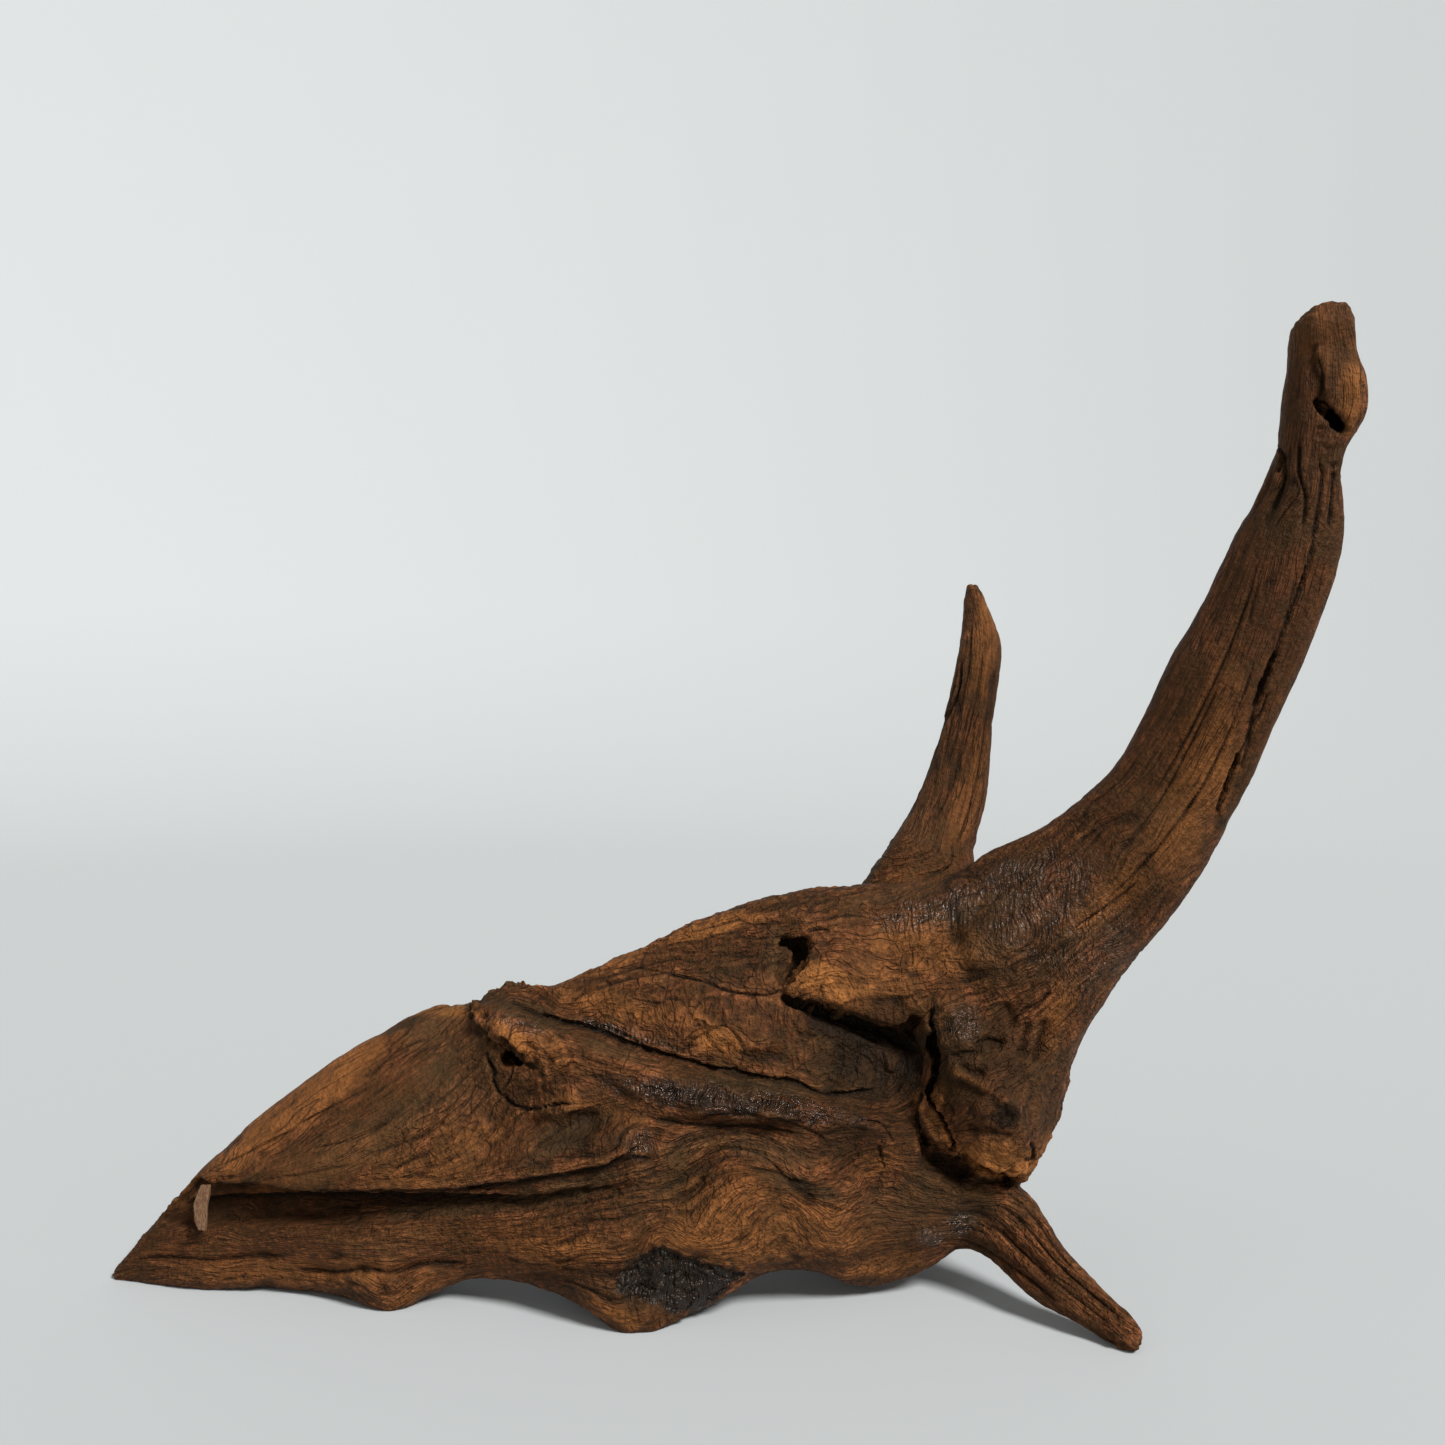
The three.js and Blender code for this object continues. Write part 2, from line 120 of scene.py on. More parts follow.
# Lines that the fibres follow, as they are seen in the photo (px), each with its distance in
# millimetres across the grain from the top of the left tip
GRAIN_LINES_PX = (
    (0, ((175, 1197), (230, 1150), (300, 1090), (380, 1040), (440, 1008))),
    (8, ((190, 1196), (260, 1160), (340, 1110), (410, 1060), (462, 1018))),
    (18, ((200, 1197), (290, 1172), (380, 1130), (440, 1085), (480, 1042))),
    (28, ((210, 1197), (320, 1182), (420, 1150), (470, 1110), (496, 1078))),
    (36, ((230, 1195), (340, 1190), (440, 1178), (510, 1150), (545, 1125))),
    (42, ((250, 1196), (340, 1193), (440, 1191), (506, 1182), (573, 1172), (622, 1157))),
    (52, ((200, 1225), (300, 1222), (440, 1215), (560, 1197), (630, 1180))),
    (62, ((150, 1245), (300, 1243), (440, 1240), (560, 1225), (640, 1210))),
    (72, ((125, 1262), (260, 1258), (380, 1268), (470, 1255), (560, 1255), (640, 1245))),
    (82, ((150, 1285), (268, 1285), (340, 1293), (390, 1303), (434, 1287), (500, 1275))),
    (2, ((500, 986), (560, 975))),
    (-4, ((600, 958), (640, 949))),
    (-10, ((700, 928), (760, 912), (860, 886), (960, 862), (1020, 838))),
    (-13, ((1090, 785), (1145, 711), (1199, 613), (1255, 500), (1283, 411), (1290, 330))),
    (6, ((560, 1003), (620, 985), (680, 977), (731, 991), (778, 994))),
    (16, ((510, 1000), (586, 1026), (661, 1053), (741, 1072), (811, 1089), (886, 1098))),
    (26, ((530, 1046), (600, 1062), (680, 1080), (760, 1094), (840, 1108))),
    (34, ((511, 1121), (540, 1111), (573, 1108), (598, 1109))),
    (38, ((640, 1118), (700, 1124), (760, 1122), (820, 1130))),
    (39, ((560, 1165), (600, 1155), (622, 1146))),
    (47, ((667, 1158), (700, 1139), (732, 1132), (761, 1136), (790, 1149))),
    (54, ((690, 1168), (725, 1151), (767, 1160), (800, 1184))),
    (68, ((690, 1235), (740, 1196), (790, 1196), (830, 1225))),
    (84, ((660, 1245), (720, 1268), (780, 1262), (850, 1272))),
    (92, ((564, 1290), (608, 1319), (644, 1328), (698, 1311), (751, 1277))),
    (5, ((830, 950), (900, 958), (980, 940), (1050, 890), (1110, 830))),
    (14, ((800, 1003), (850, 1014), (894, 1025))),
    (10, ((1000, 972), (1080, 920), (1150, 838), (1215, 740), (1262, 640), (1300, 520))),
    (24, ((940, 1050), (1000, 1020), (1070, 965), (1140, 900), (1195, 825))),
    (40, ((950, 1120), (1000, 1085), (1045, 1040))),
    (52, ((960, 1156), (995, 1178), (1034, 1166), (1052, 1139), (1064, 1090))),
    (46, ((1080, 1041), (1107, 992))),
    (36, ((1148, 943), (1188, 894))),
    (30, ((1222, 841), (1248, 794), (1282, 716), (1320, 630))),
    (22, ((1342, 530), (1345, 462), (1366, 420), (1368, 379), (1352, 305))),
    (4, ((1318, 330), (1314, 420), (1302, 500))),
    (60, ((880, 1165), (930, 1185), (990, 1200), (1028, 1196))),
    (76, ((860, 1230), (920, 1228), (980, 1222))),
    (90, ((868, 1284), (909, 1262), (945, 1250))),
)
# Places along the grain (px), each with its distance in millimetres from the left tip
GRAIN_REACH_PX = (
    ((110, 1280), 0), ((175, 1197), 20), ((300, 1100), 80), ((300, 1250), 80), ((440, 1010), 145),
    ((440, 1280), 140), ((640, 950), 215), ((640, 1150), 215), ((640, 1320), 220), ((800, 905), 280),
    ((800, 1080), 280), ((800, 1260), 285), ((950, 865), 340), ((960, 1040), 340), ((950, 1250), 345),
    ((1060, 1120), 365), ((1060, 830), 390), ((1110, 960), 410), ((1150, 720), 440), ((1220, 840), 460),
    ((1250, 560), 510), ((1310, 650), 525), ((1290, 430), 570), ((1350, 450), 580), ((1320, 310), 620),
)
# Knots turn the fibres round themselves: place (px), radius (px) and how strongly (mm)
KNOTS_PX = (
    ((641, 1143), 11, 5.0), ((611, 1117), 12, 2.0), ((960, 884), 12, 5.0), ((745, 962), 30, 3.0),
    ((717, 1048), 17, 2.0), ((790, 1205), 42, 3.0), ((385, 1288), 18, -4.0), ((1062, 905), 24, 3.0),
    ((1020, 935), 22, -3.0), ((975, 1000), 22, 2.5), ((668, 1284), 30, 3.0), ((936, 1230), 16, 2.0),
)

# Cracks, lips and edges, drawn as they are seen in the photo (px). The wood on the right-hand
# side of a lip's line, going along it, is the side that drops.
LEDGE_PX = ((176, 1199), (213, 1198), (238, 1195), (268, 1195), (299, 1193), (340, 1192), (440, 1191),
            (473, 1187), (506, 1182), (540, 1177), (573, 1172), (606, 1166), (625, 1157), (649, 1160))
RECESS_LINE_PX = ((192, 1219), (213, 1217), (255, 1215), (299, 1214), (340, 1216))
BAR_LINE_PX = ((131, 1259), (161, 1257), (186, 1258), (207, 1260), (232, 1258), (253, 1256), (290, 1257))
BAR_CREASE_PX = ((290, 1268), (330, 1272), (365, 1270), (392, 1272), (430, 1264), (472, 1263))
LUMP_CREASE_PX = ((372, 1270), (380, 1284), (384, 1299))
SHIELD_CRACKS_PX = (
    ((300, 1123), (330, 1107), (352, 1096), (372, 1086)),
    ((312, 1148), (350, 1140), (392, 1120)),
    ((222, 1165), (260, 1146), (300, 1126)),
    ((260, 1180), (300, 1174), (352, 1164)),
    ((368, 1078), (390, 1056), (406, 1040)),
)
PLATE_EDGE_PX = ((474, 999), (471, 1010), (473, 1017), (481, 1027), (491, 1036), (503, 1044), (511, 1052),
                 (519, 1056))
PLATE_RIM_PX = ((474, 999), (480, 993), (500, 986), (515, 986), (536, 988))
FISSURE_PX = ((484, 1046), (486, 1052), (488, 1061), (494, 1071), (493, 1081), (499, 1093), (507, 1100),
              (514, 1105), (523, 1108), (533, 1109), (546, 1106), (563, 1103), (578, 1104))
FISSURE_SIDE_PX = ((513, 1064), (511, 1076), (505, 1086), (500, 1093))
FISSURE_TOP_PX = ((520, 1060), (528, 1066), (540, 1069))
LEAF_FOLD_PX = ((548, 1088), (560, 1079), (585, 1079), (612, 1088), (640, 1104))
LEAF_VALLEY_PX = ((530, 1151), (545, 1140), (563, 1128), (583, 1119), (602, 1113))
LEAF_VALLEY_2_PX = ((545, 1156), (562, 1144), (583, 1131), (604, 1119))
LEAF_RIDGE_PX = ((505, 1131), (520, 1120), (540, 1112), (573, 1109), (600, 1110))
KNOT_CREASE_PX = ((606, 1166), (622, 1157), (632, 1150), (640, 1146))
KNOT_CREASE_2_PX = ((626, 1155), (640, 1158), (650, 1160))
KNOT_SIDE_PX = ((652, 1126), (656, 1140), (651, 1160), (662, 1180), (668, 1195))
LONG_CRACK_PX = ((503, 996), (526, 1008), (546, 1015), (566, 1021), (586, 1026), (606, 1033), (622, 1040),
                 (639, 1046), (661, 1053), (689, 1061), (711, 1067), (741, 1072), (772, 1078), (797, 1082),
                 (811, 1089), (827, 1094), (843, 1093), (864, 1091), (880, 1091), (886, 1095), (892, 1103))
CRACK_BRANCH_PX = ((578, 1018), (602, 1025), (619, 1031), (636, 1040), (648, 1049))
CRACK_RIDGE_PX = ((516, 1032), (545, 1040), (590, 1051), (640, 1068), (700, 1087), (760, 1097), (820, 1108))
UPPER_CRACK_PX = ((660, 972), (680, 976), (706, 982), (731, 991), (762, 995), (778, 991), (786, 984))
UPPER_CREASES_PX = (
    ((606, 980), (610, 984), (609, 991)),
    ((630, 997), (645, 1001), (662, 1003)),
    ((663, 998), (680, 1000), (686, 1007)),
    ((560, 976), (600, 970), (640, 968), (672, 974)),
    ((700, 1000), (697, 1006), (684, 1006)),
)
LENS_PX = ((700, 1036), (689, 1044), (690, 1052), (696, 1062), (721, 1067), (737, 1067), (743, 1056),
           (741, 1044), (725, 1026))
LENS_INNER_PX = ((706, 1030), (712, 1044), (722, 1052), (724, 1062), (738, 1066))
HOLE_PX = ((778, 941), (788, 938), (809, 938), (812, 948), (809, 958), (800, 968), (790, 981), (789, 968),
           (790, 956), (782, 946))
HOLE_CRACK_PX = ((806, 932), (818, 929), (831, 931))
FLAP_EDGE_PX = ((812, 944), (811, 955), (803, 967), (790, 984), (787, 990), (788, 996), (802, 1001),
                (827, 1008), (853, 1016), (874, 1022), (894, 1025), (906, 1022))
FLAP_SHADOW_PX = ((778, 992), (790, 1001), (806, 1007), (828, 1014), (856, 1023), (886, 1033), (908, 1046),
                  (918, 1060))
UNDER_FLAP_PX = ((798, 1006), (828, 1017), (856, 1027), (886, 1037), (908, 1052))
FLAP_SIDE_PX = ((904, 1026), (913, 1040), (918, 1056), (917, 1066), (922, 1076))
FLAP_CRACK_PX = ((820, 983), (822, 990), (824, 998))
PLATE_HOLLOW_PX = ((498, 1037), (505, 1044), (511, 1051), (518, 1060), (522, 1066))
PLATE_NODULES_PX = ((548, 1084), (540, 1070), (532, 1050), (552, 1056), (572, 1060), (590, 1066))
RECESS_CRACKS_PX = (
    ((903, 1043), (907, 1063), (903, 1082), (895, 1096)),
    ((880, 1062), (888, 1072), (896, 1072), (903, 1065)),
    ((851, 1128), (862, 1120), (880, 1123), (888, 1132), (896, 1144)),
    ((882, 1137), (880, 1152), (886, 1170)),
)
TALL_CRACK_PX = ((934, 1003), (930, 1019), (933, 1033), (930, 1048), (935, 1056), (935, 1068), (933, 1080),
                 (928, 1093), (931, 1103), (941, 1117), (949, 1135), (960, 1155))
TALL_GAP_PX = ((931, 1036), (933, 1046), (935, 1056), (935, 1066), (934, 1076))
LOBE_CRUMBS_PX = ((937, 1087), (940, 1095), (944, 1105))
SLIVER_PX = ((921, 1091), (920, 1105), (926, 1122), (938, 1140), (950, 1152), (960, 1157))
SLIVER_LEFT_PX = ((924, 1090), (917, 1102), (917, 1116), (922, 1134), (930, 1147))
LOBE_RIM_PX = ((957, 1153), (963, 1161), (972, 1168), (983, 1176), (995, 1179), (1011, 1180), (1024, 1182),
               (1032, 1177), (1036, 1172), (1034, 1164))
LOBE_NICK_PX = ((1030, 1142), (1035, 1151), (1033, 1162))
LOBE_CRACKS_PX = (
    ((949, 1057), (962, 1053), (980, 1052)),
    ((975, 1044), (990, 1040), (1006, 1044)),
    ((942, 1098), (950, 1104), (956, 1116)),
    ((1022, 1010), (1040, 1002), (1052, 990)),
)
LOBE_PAD_PX = ((950, 1071), (966, 1078), (982, 1087), (994, 1094))
LOBE_SHELF_PX = ((980, 1097), (996, 1099), (1010, 1104), (1024, 1108))
LOBE_VALLEYS_PX = (
    ((955, 1066), (970, 1072), (988, 1078)),
    ((1030, 1020), (1024, 1040), (1022, 1062)),
    ((1046, 1015), (1040, 1042), (1036, 1070)),
    ((952, 1079), (969, 1086), (987, 1095), (999, 1103)),
    ((945, 1059), (962, 1056), (980, 1052), (995, 1053)),
    ((972, 1046), (988, 1042), (1007, 1046)),
    ((958, 1122), (978, 1130), (1000, 1136), (1022, 1138)),
    ((1000, 1000), (1012, 1016), (1016, 1034)),
)
NECK_CREASE_PX = ((964, 890), (965, 915), (965, 945), (967, 975))
CAVE_PX = ((930, 1148), (945, 1156), (960, 1166), (975, 1174))
ARCS_PX = (
    ((664, 1160), (682, 1144), (705, 1137), (732, 1131), (761, 1136), (790, 1150)),
    ((700, 1160), (720, 1150), (742, 1149), (767, 1159), (792, 1180), (824, 1186)),
    ((675, 1195), (690, 1190), (705, 1176)),
    ((690, 1121), (730, 1114), (780, 1120), (815, 1133), (835, 1150)),
    ((745, 1168), (775, 1172), (800, 1187), (814, 1200), (830, 1207), (850, 1210)),
)
GLOSS_ROLL_PX = ((600, 1066), (650, 1086), (700, 1100), (760, 1111), (815, 1122))
GLOSS_VALLEY_PX = ((648, 1118), (700, 1125), (760, 1127), (806, 1135))
GLOSS_FOLDS_PX = (
    ((640, 1098), (680, 1106), (720, 1108), (770, 1112)),
    ((660, 1090), (700, 1099), (745, 1101), (800, 1112)),
    ((622, 1078), (650, 1088), (690, 1096)),
    ((662, 1080), (672, 1092), (676, 1104)),
    ((690, 1086), (700, 1098), (704, 1112)),
    ((722, 1090), (733, 1103), (738, 1118)),
    ((752, 1096), (766, 1108), (772, 1122)),
)
TOP_EDGE_PX = ((580, 966), (640, 949), (700, 925), (752, 905), (800, 893), (860, 880), (900, 866),
               (960, 848), (1010, 832))
CHAR_PX = ((617, 1287), (624, 1270), (642, 1254), (656, 1246), (672, 1249), (690, 1259), (715, 1264),
           (745, 1272), (735, 1285), (713, 1304), (694, 1313), (672, 1314), (648, 1300), (628, 1296))
ROOT_LINES_PX = (
    ((975, 1216), (1005, 1236), (1040, 1268), (1078, 1300), (1118, 1330)),
    ((990, 1200), (1022, 1222), (1052, 1258), (1090, 1293), (1128, 1324)),
    ((1005, 1190), (1030, 1212), (1050, 1240), (1075, 1272)),
    ((960, 1238), (990, 1252), (1025, 1276), (1060, 1304)),
)
LIMB_CRACK_PX = ((1318, 520), (1313, 544), (1306, 570), (1297, 596), (1287, 622), (1279, 643), (1271, 664),
                 (1262, 690), (1254, 712), (1248, 737), (1240, 754), (1229, 780), (1217, 814))
LIMB_LENS_PX = ((1277, 650), (1271, 664), (1265, 681), (1260, 695), (1254, 710))
LIMB_SIDE_PX = ((1270, 687), (1262, 711), (1253, 724), (1248, 746), (1240, 772))
LIMB_LENS_2_PX = ((1238, 752), (1236, 763), (1229, 780), (1222, 800), (1217, 815))
LIMB_NOTCH_PX = ((1268, 446), (1279, 449), (1282, 458), (1277, 474))
LIMB_NECK_PX = (
    ((1319, 455), (1322, 480), (1318, 512), (1312, 545)),
    ((1300, 440), (1299, 470), (1306, 500), (1302, 530)),
    ((1285, 450), (1283, 480), (1272, 510)),
    ((1334, 470), (1332, 500), (1330, 530)),
)
LIMB_TOP_CRACK_PX = ((1316, 355), (1322, 372), (1321, 392), (1317, 404))
LIMB_HOLE_PX = ((1313, 399), (1321, 399), (1328, 407), (1338, 417), (1344, 427), (1337, 430), (1327, 420),
                (1317, 411))
LIMB_SLOT_PX = ((1313, 399), (1322, 406), (1331, 416), (1342, 428))
LIMB_FRAY_PX = ((1322, 420), (1328, 445), (1333, 468))
LIMB_PLATE_PX = ((1320, 340), (1316, 358), (1321, 376), (1325, 392), (1330, 408), (1341, 420), (1352, 430))
LIMB_KNOB_PX = ((1346, 366), (1352, 385), (1354, 405), (1348, 425))
LIMB_STREAKS_PX = (
    ((1150, 800), (1185, 740), (1215, 680), (1240, 620), (1258, 570)),
    ((1120, 850), (1160, 800), (1195, 735), (1222, 680)),
    ((1175, 830), (1206, 780), (1232, 725), (1256, 660)),
    ((1100, 905), (1140, 868), (1172, 830), (1200, 790)),
    ((1070, 930), (1108, 905), (1140, 880)),
)
NECK_FOLDS_PX = (
    ((960, 905), (990, 895), (1020, 880), (1045, 858), (1062, 838)),
    ((985, 930), (1015, 915), (1040, 895), (1060, 870)),
    ((1010, 955), (1035, 938), (1058, 912), (1070, 890)),
    ((940, 925), (965, 915), (1000, 905)),
    ((925, 948), (950, 940), (975, 942)),
    ((1030, 965), (1060, 950), (1085, 925), (1100, 900)),
)
REAR_CRACK_PX = ((962, 655), (958, 690), (944, 722), (932, 757), (916, 800), (906, 822))
REAR_STREAKS_PX = (
    ((985, 640), (978, 690), (966, 740), (950, 790), (930, 830)),
    ((972, 620), (968, 670), (955, 720)),
    ((990, 700), (982, 750), (972, 800), (955, 850)),
)

# Wood added before the carving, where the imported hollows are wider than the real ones: how far it
# reaches into the wood (mm), and the corners of its face, each a place in the photo (px) and a y (mm)
FILLS_PX = (
    (4.0, ((786, 984, -32.5), (812, 984, -33), (846, 986, -31), (878, 988, -30.5), (900, 994, -32),
           (918, 1006, -34), (906, 1022, -33.5), (894, 1025, -32.5), (874, 1022, -32), (853, 1016, -32.5),
           (827, 1008, -33), (802, 1000, -33.5), (788, 994, -33))),
    (12.0, ((770, 912, -14), (800, 908, -15.5), (812, 914, -18), (813, 936, -22.5), (800, 938, -21.5),
            (784, 938, -19.5), (776, 930, -17.5))),
    (10.0, ((930, 1002, -35.5), (952, 1004, -39), (957, 1040, -45.5), (957, 1070, -48), (957, 1100, -46.5),
            (961, 1130, -43.5), (966, 1150, -43.5), (960, 1149, -42), (951, 1130, -40), (943, 1112, -39),
            (938, 1100, -39), (936, 1087, -39), (938, 1069, -40), (938, 1056, -41),
            (935, 1040, -39), (932, 1030, -38))),
    (5.0, ((922, 1092, -37), (931, 1098, -38), (936, 1110, -38.5), (942, 1122, -39), (950, 1137, -40),
           (958, 1151, -41), (950, 1156, -39), (938, 1146, -37), (926, 1132, -36), (919, 1116, -36),
           (918, 1102, -36))),
    (8.0, ((912, 1030, -30), (926, 1022, -36), (929, 1034, -36), (928, 1050, -34), (930, 1060, -33),
           (929, 1078, -34), (924, 1092, -35), (918, 1086, -34), (914, 1060, -31))),
    (4.0, ((779, 948, -21), (796, 950, -17.5), (794, 960, -18), (790, 970, -20), (786, 978, -22.5),
           (782, 984, -26), (778, 968, -22), (777, 956, -21.5))),
    (6.0, ((778, 938, -15), (810, 937, -15), (810, 950, -14), (798, 954, -13), (786, 951, -14))),
    (6.0, ((470, 1012, -16.5), (478, 1018, -20), (486, 1026, -22.5), (494, 1034, -25), (502, 1042, -26.5),
           (509, 1050, -27.5), (504, 1056, -25.5), (495, 1047, -24.3), (487, 1039, -22), (478, 1029, -18.5),
           (469, 1020, -15.5))),
    (5.0, ((494, 1066, -26.5), (497, 1078, -26.5), (501, 1088, -27.5), (507, 1097, -29), (516, 1103, -31),
           (530, 1106, -33), (545, 1105, -36.5), (560, 1103, -39), (560, 1110, -39.3), (545, 1113, -36.8),
           (530, 1114, -33.5), (516, 1112, -31.3), (504, 1106, -29.3), (496, 1096, -27.7), (491, 1084, -26),
           (489, 1070, -25.3))),
    (2.5, ((1322, 397, -60), (1346, 396, -60.5), (1353, 424, -60), (1346, 429, -59.5), (1338, 416, -60.5),
           (1328, 406, -60.5))),
    (5.0, ((1290, 630, -53.6), (1304, 634, -52.6), (1292, 668, -50.8), (1280, 694, -50.3),
           (1270, 710, -49.8), (1260, 728, -48.8), (1254, 742, -48.3), (1248, 756, -47.6),
           (1240, 772, -47.4), (1230, 794, -47.8), (1216, 790, -49.6), (1226, 768, -49.8),
           (1232, 752, -50.2),
           (1238, 735, -50.8), (1246, 718, -51.6), (1255, 702, -52.6), (1264, 688, -52.8),
           (1276, 662, -52.8))),
)
LIMB_END_PX = ((1290, 325), (1311, 314), (1322, 304), (1336, 300), (1352, 300), (1356, 312))
ROOT_TIP_PX = ((1118, 1345), (1140, 1352), (1148, 1334))
LEDGE_END_PX = ((175, 1197), (167, 1210), (166, 1219), (158, 1224))
LOBE_SIDE_PX = ((1034, 1164), (1047, 1158), (1052, 1139), (1063, 1099), (1066, 1070))

# Patches of tone, as they are seen in the photo: place (px), half sizes (px), turn (degrees),
# and how strong they are
AMBER_PX = (
    ((300, 1105), (120, 20), -38, 0.6), ((230, 1160), (60, 14), -40, 0.35),
    ((440, 1009), (50, 7), 2, 0.8), ((340, 1158), (120, 18), -16, 0.2), ((540, 1052), (46, 16), 18, 0.3),
    ((512, 1038), (26, 8), 40, 0.9), ((720, 925), (60, 9), -18, 0.8), ((600, 966), (60, 8), -20, 0.55),
    ((830, 985), (44, 17), 12, 1.0), ((880, 985), (50, 28), 4, 0.35), ((920, 950), (70, 30), -4, 0.4),
    ((718, 1040), (22, 16), 5, 0.9), ((640, 1012), (50, 10), 12, 0.45), ((700, 1012), (24, 8), 10, 0.4),
    # The thin dab at (972, 1081), along the edge of the lobe's pad, is a painted highlight
    ((720, 1205), (50, 30), -20, 0.45), ((972, 1081), (26, 3), 30, 0.8), ((740, 1240), (80, 22), 8, 0.55),
    ((830, 1225), (60, 26), 10, 0.35), ((880, 1160), (24, 14), -20, 0.4),
    ((1000, 1160), (42, 18), 8, 0.85), ((1045, 1150), (12, 18), 20, 0.7),
    ((500, 1235), (120, 14), 0, 0.15), ((420, 1295), (50, 10), -20, 0.4),
    ((560, 1250), (60, 18), 4, 0.45), ((600, 1110), (50, 9), 15, 0.45), ((1110, 900), (60, 20), -45, 0.5),
    ((1060, 1010), (16, 50), 18, 0.4), ((1352, 395), (12, 40), 0, 0.8), ((1205, 720), (20, 80), 28, 0.25),
    ((985, 640), (12, 60), 8, 0.5), ((970, 790), (16, 60), 18, 0.35), ((934, 1124), (34, 7), 56, 0.9),
    ((938, 1096), (9, 13), 0, 1.0), ((1192, 800), (95, 28), -62, 0.6), ((795, 1225), (50, 30), 0, 0.3),
    ((610, 1310), (30, 8), 30, 0.6), ((885, 1265), (40, 10), -12, 0.6),
    ((425, 1172), (60, 16), -10, 0.35), ((300, 1272), (110, 14), 0, 0.35),
    ((600, 1000), (44, 16), 14, 0.45), ((1318, 338), (26, 34), 0, 0.25), ((690, 1240), (46, 6), 3, 0.8),
    ((838, 1243), (34, 9), -10, 0.6), ((470, 1140), (40, 12), -24, 0.4),
)
GREY_PX = (
    ((528, 1013), (42, 11), 22, 1.0), ((430, 1030), (30, 14), -30, 0.7),
    ((375, 1135), (90, 22), -26, 0.6), ((460, 1075), (36, 44), -20, 0.55),
    ((570, 1134), (52, 12), -28, 0.9), ((480, 1205), (120, 9), -6, 0.85),
    ((580, 1184), (50, 9), -14, 0.9), ((250, 1180), (20, 6), -20, 0.7), ((390, 1240), (40, 20), 0, 0.3),
    ((620, 1052), (40, 8), 18, 0.7), ((770, 1088), (60, 8), 8, 0.8), ((860, 1092), (50, 10), 0, 0.6),
    ((860, 1060), (60, 34), 6, 0.7), ((660, 1190), (30, 40), 10, 0.35), ((760, 1150), (60, 14), 10, 0.55),
    ((960, 1060), (30, 46), 0, 0.5), ((1000, 945), (40, 30), -20, 0.55), ((980, 905), (50, 14), -18, 0.7),
    ((900, 895), (60, 8), -14, 0.4), ((775, 955), (14, 26), 0, 0.8), ((1050, 960), (60, 12), -35, 0.5),
    ((1030, 1090), (30, 50), 14, 0.45), ((960, 1200), (60, 22), 12, 0.6), ((905, 1210), (50, 26), 0, 0.5),
    ((1150, 830), (60, 18), -50, 0.35), ((1290, 500), (24, 60), 12, 0.45),
    ((730, 975), (30, 16), 0, 0.35), ((640, 1290), (60, 20), 0, 0.4), ((920, 820), (30, 30), 0, 0.35),
    ((745, 1148), (48, 9), 12, 0.7), ((806, 1188), (46, 9), 18, 0.9), ((690, 1142), (32, 14), -30, 0.7),
    ((430, 1015), (50, 8), -16, 0.6),
)
CHAR_DABS_PX = (
    ((1006, 1117), (19, 16), 0, 0.95), ((886, 1001), (22, 9), 10, 0.45), ((475, 1003), (8, 10), 0, 0.6),
    ((720, 1018), (10, 8), 0, 0.35), ((690, 918), (12, 4), -20, 0.4), ((515, 1102), (10, 5), 20, 0.4),
    ((1120, 930), (20, 26), 30, 0.35), ((560, 1200), (90, 7), -8, 0.3), ((440, 1265), (36, 4), 0, 0.5),
    ((880, 1230), (30, 14), 0, 0.25), ((752, 1144), (40, 4), 10, 0.35), ((815, 1190), (34, 5), 18, 0.4),
    # The dab at (868, 1062), in the recess under the flap's right end, is painted shade
    ((258, 1178), (18, 5), -24, 0.4), ((700, 1098), (100, 12), 10, 0.4), ((868, 1062), (44, 26), 6, 0.4),
    ((790, 1112), (50, 8), 8, 0.3), ((1000, 1040), (50, 30), 0, 0.15),
)
# Darker patches: in the recesses below the ledge and under the flap, in the leaf valley and in the scoop
# beside the hole they are painted shade; the others darken the wood
SHADE_PX = (
    ((784, 960), (9, 17), 0, 0.9), ((880, 1075), (50, 30), 0, 1.0), ((300, 1222), (130, 14), 0, 0.6),
    ((440, 1212), (90, 8), -4, 0.5), ((150, 1265), (50, 12), 0, 0.5), ((280, 1272), (140, 10), 0, 0.1),
    ((740, 1100), (110, 18), 8, 0.75), ((640, 1090), (40, 16), 20, 0.4),
    ((575, 1135), (60, 22), -22, 0.7), ((520, 1090), (24, 24), 0, 0.4), ((870, 1060), (60, 46), 8, 0.9),
    ((860, 1130), (50, 36), 0, 0.7), ((990, 1070), (60, 60), 0, 0.85), ((1040, 1080), (30, 70), 10, 0.5),
    ((640, 1290), (90, 26), 12, 0.6), ((960, 1215), (80, 40), 10, 0.2), ((900, 1250), (50, 16), -12, 0.5),
    ((1050, 900), (90, 50), -30, 0.35), ((985, 880), (70, 18), -20, 0.55),
    ((1150, 830), (110, 60), -52, 0.4), ((1240, 640), (160, 60), -62, 0.45),
    ((1315, 440), (110, 50), -85, 0.5), ((1320, 340), (40, 36), 0, 0.05),
    ((975, 720), (110, 40), -75, 0.35), ((1080, 1290), (80, 24), 45, 0.1), ((745, 965), (50, 26), 0, 0.5),
    ((470, 1080), (36, 40), 0, 0.3), ((530, 1012), (50, 10), 22, 0.5),
)
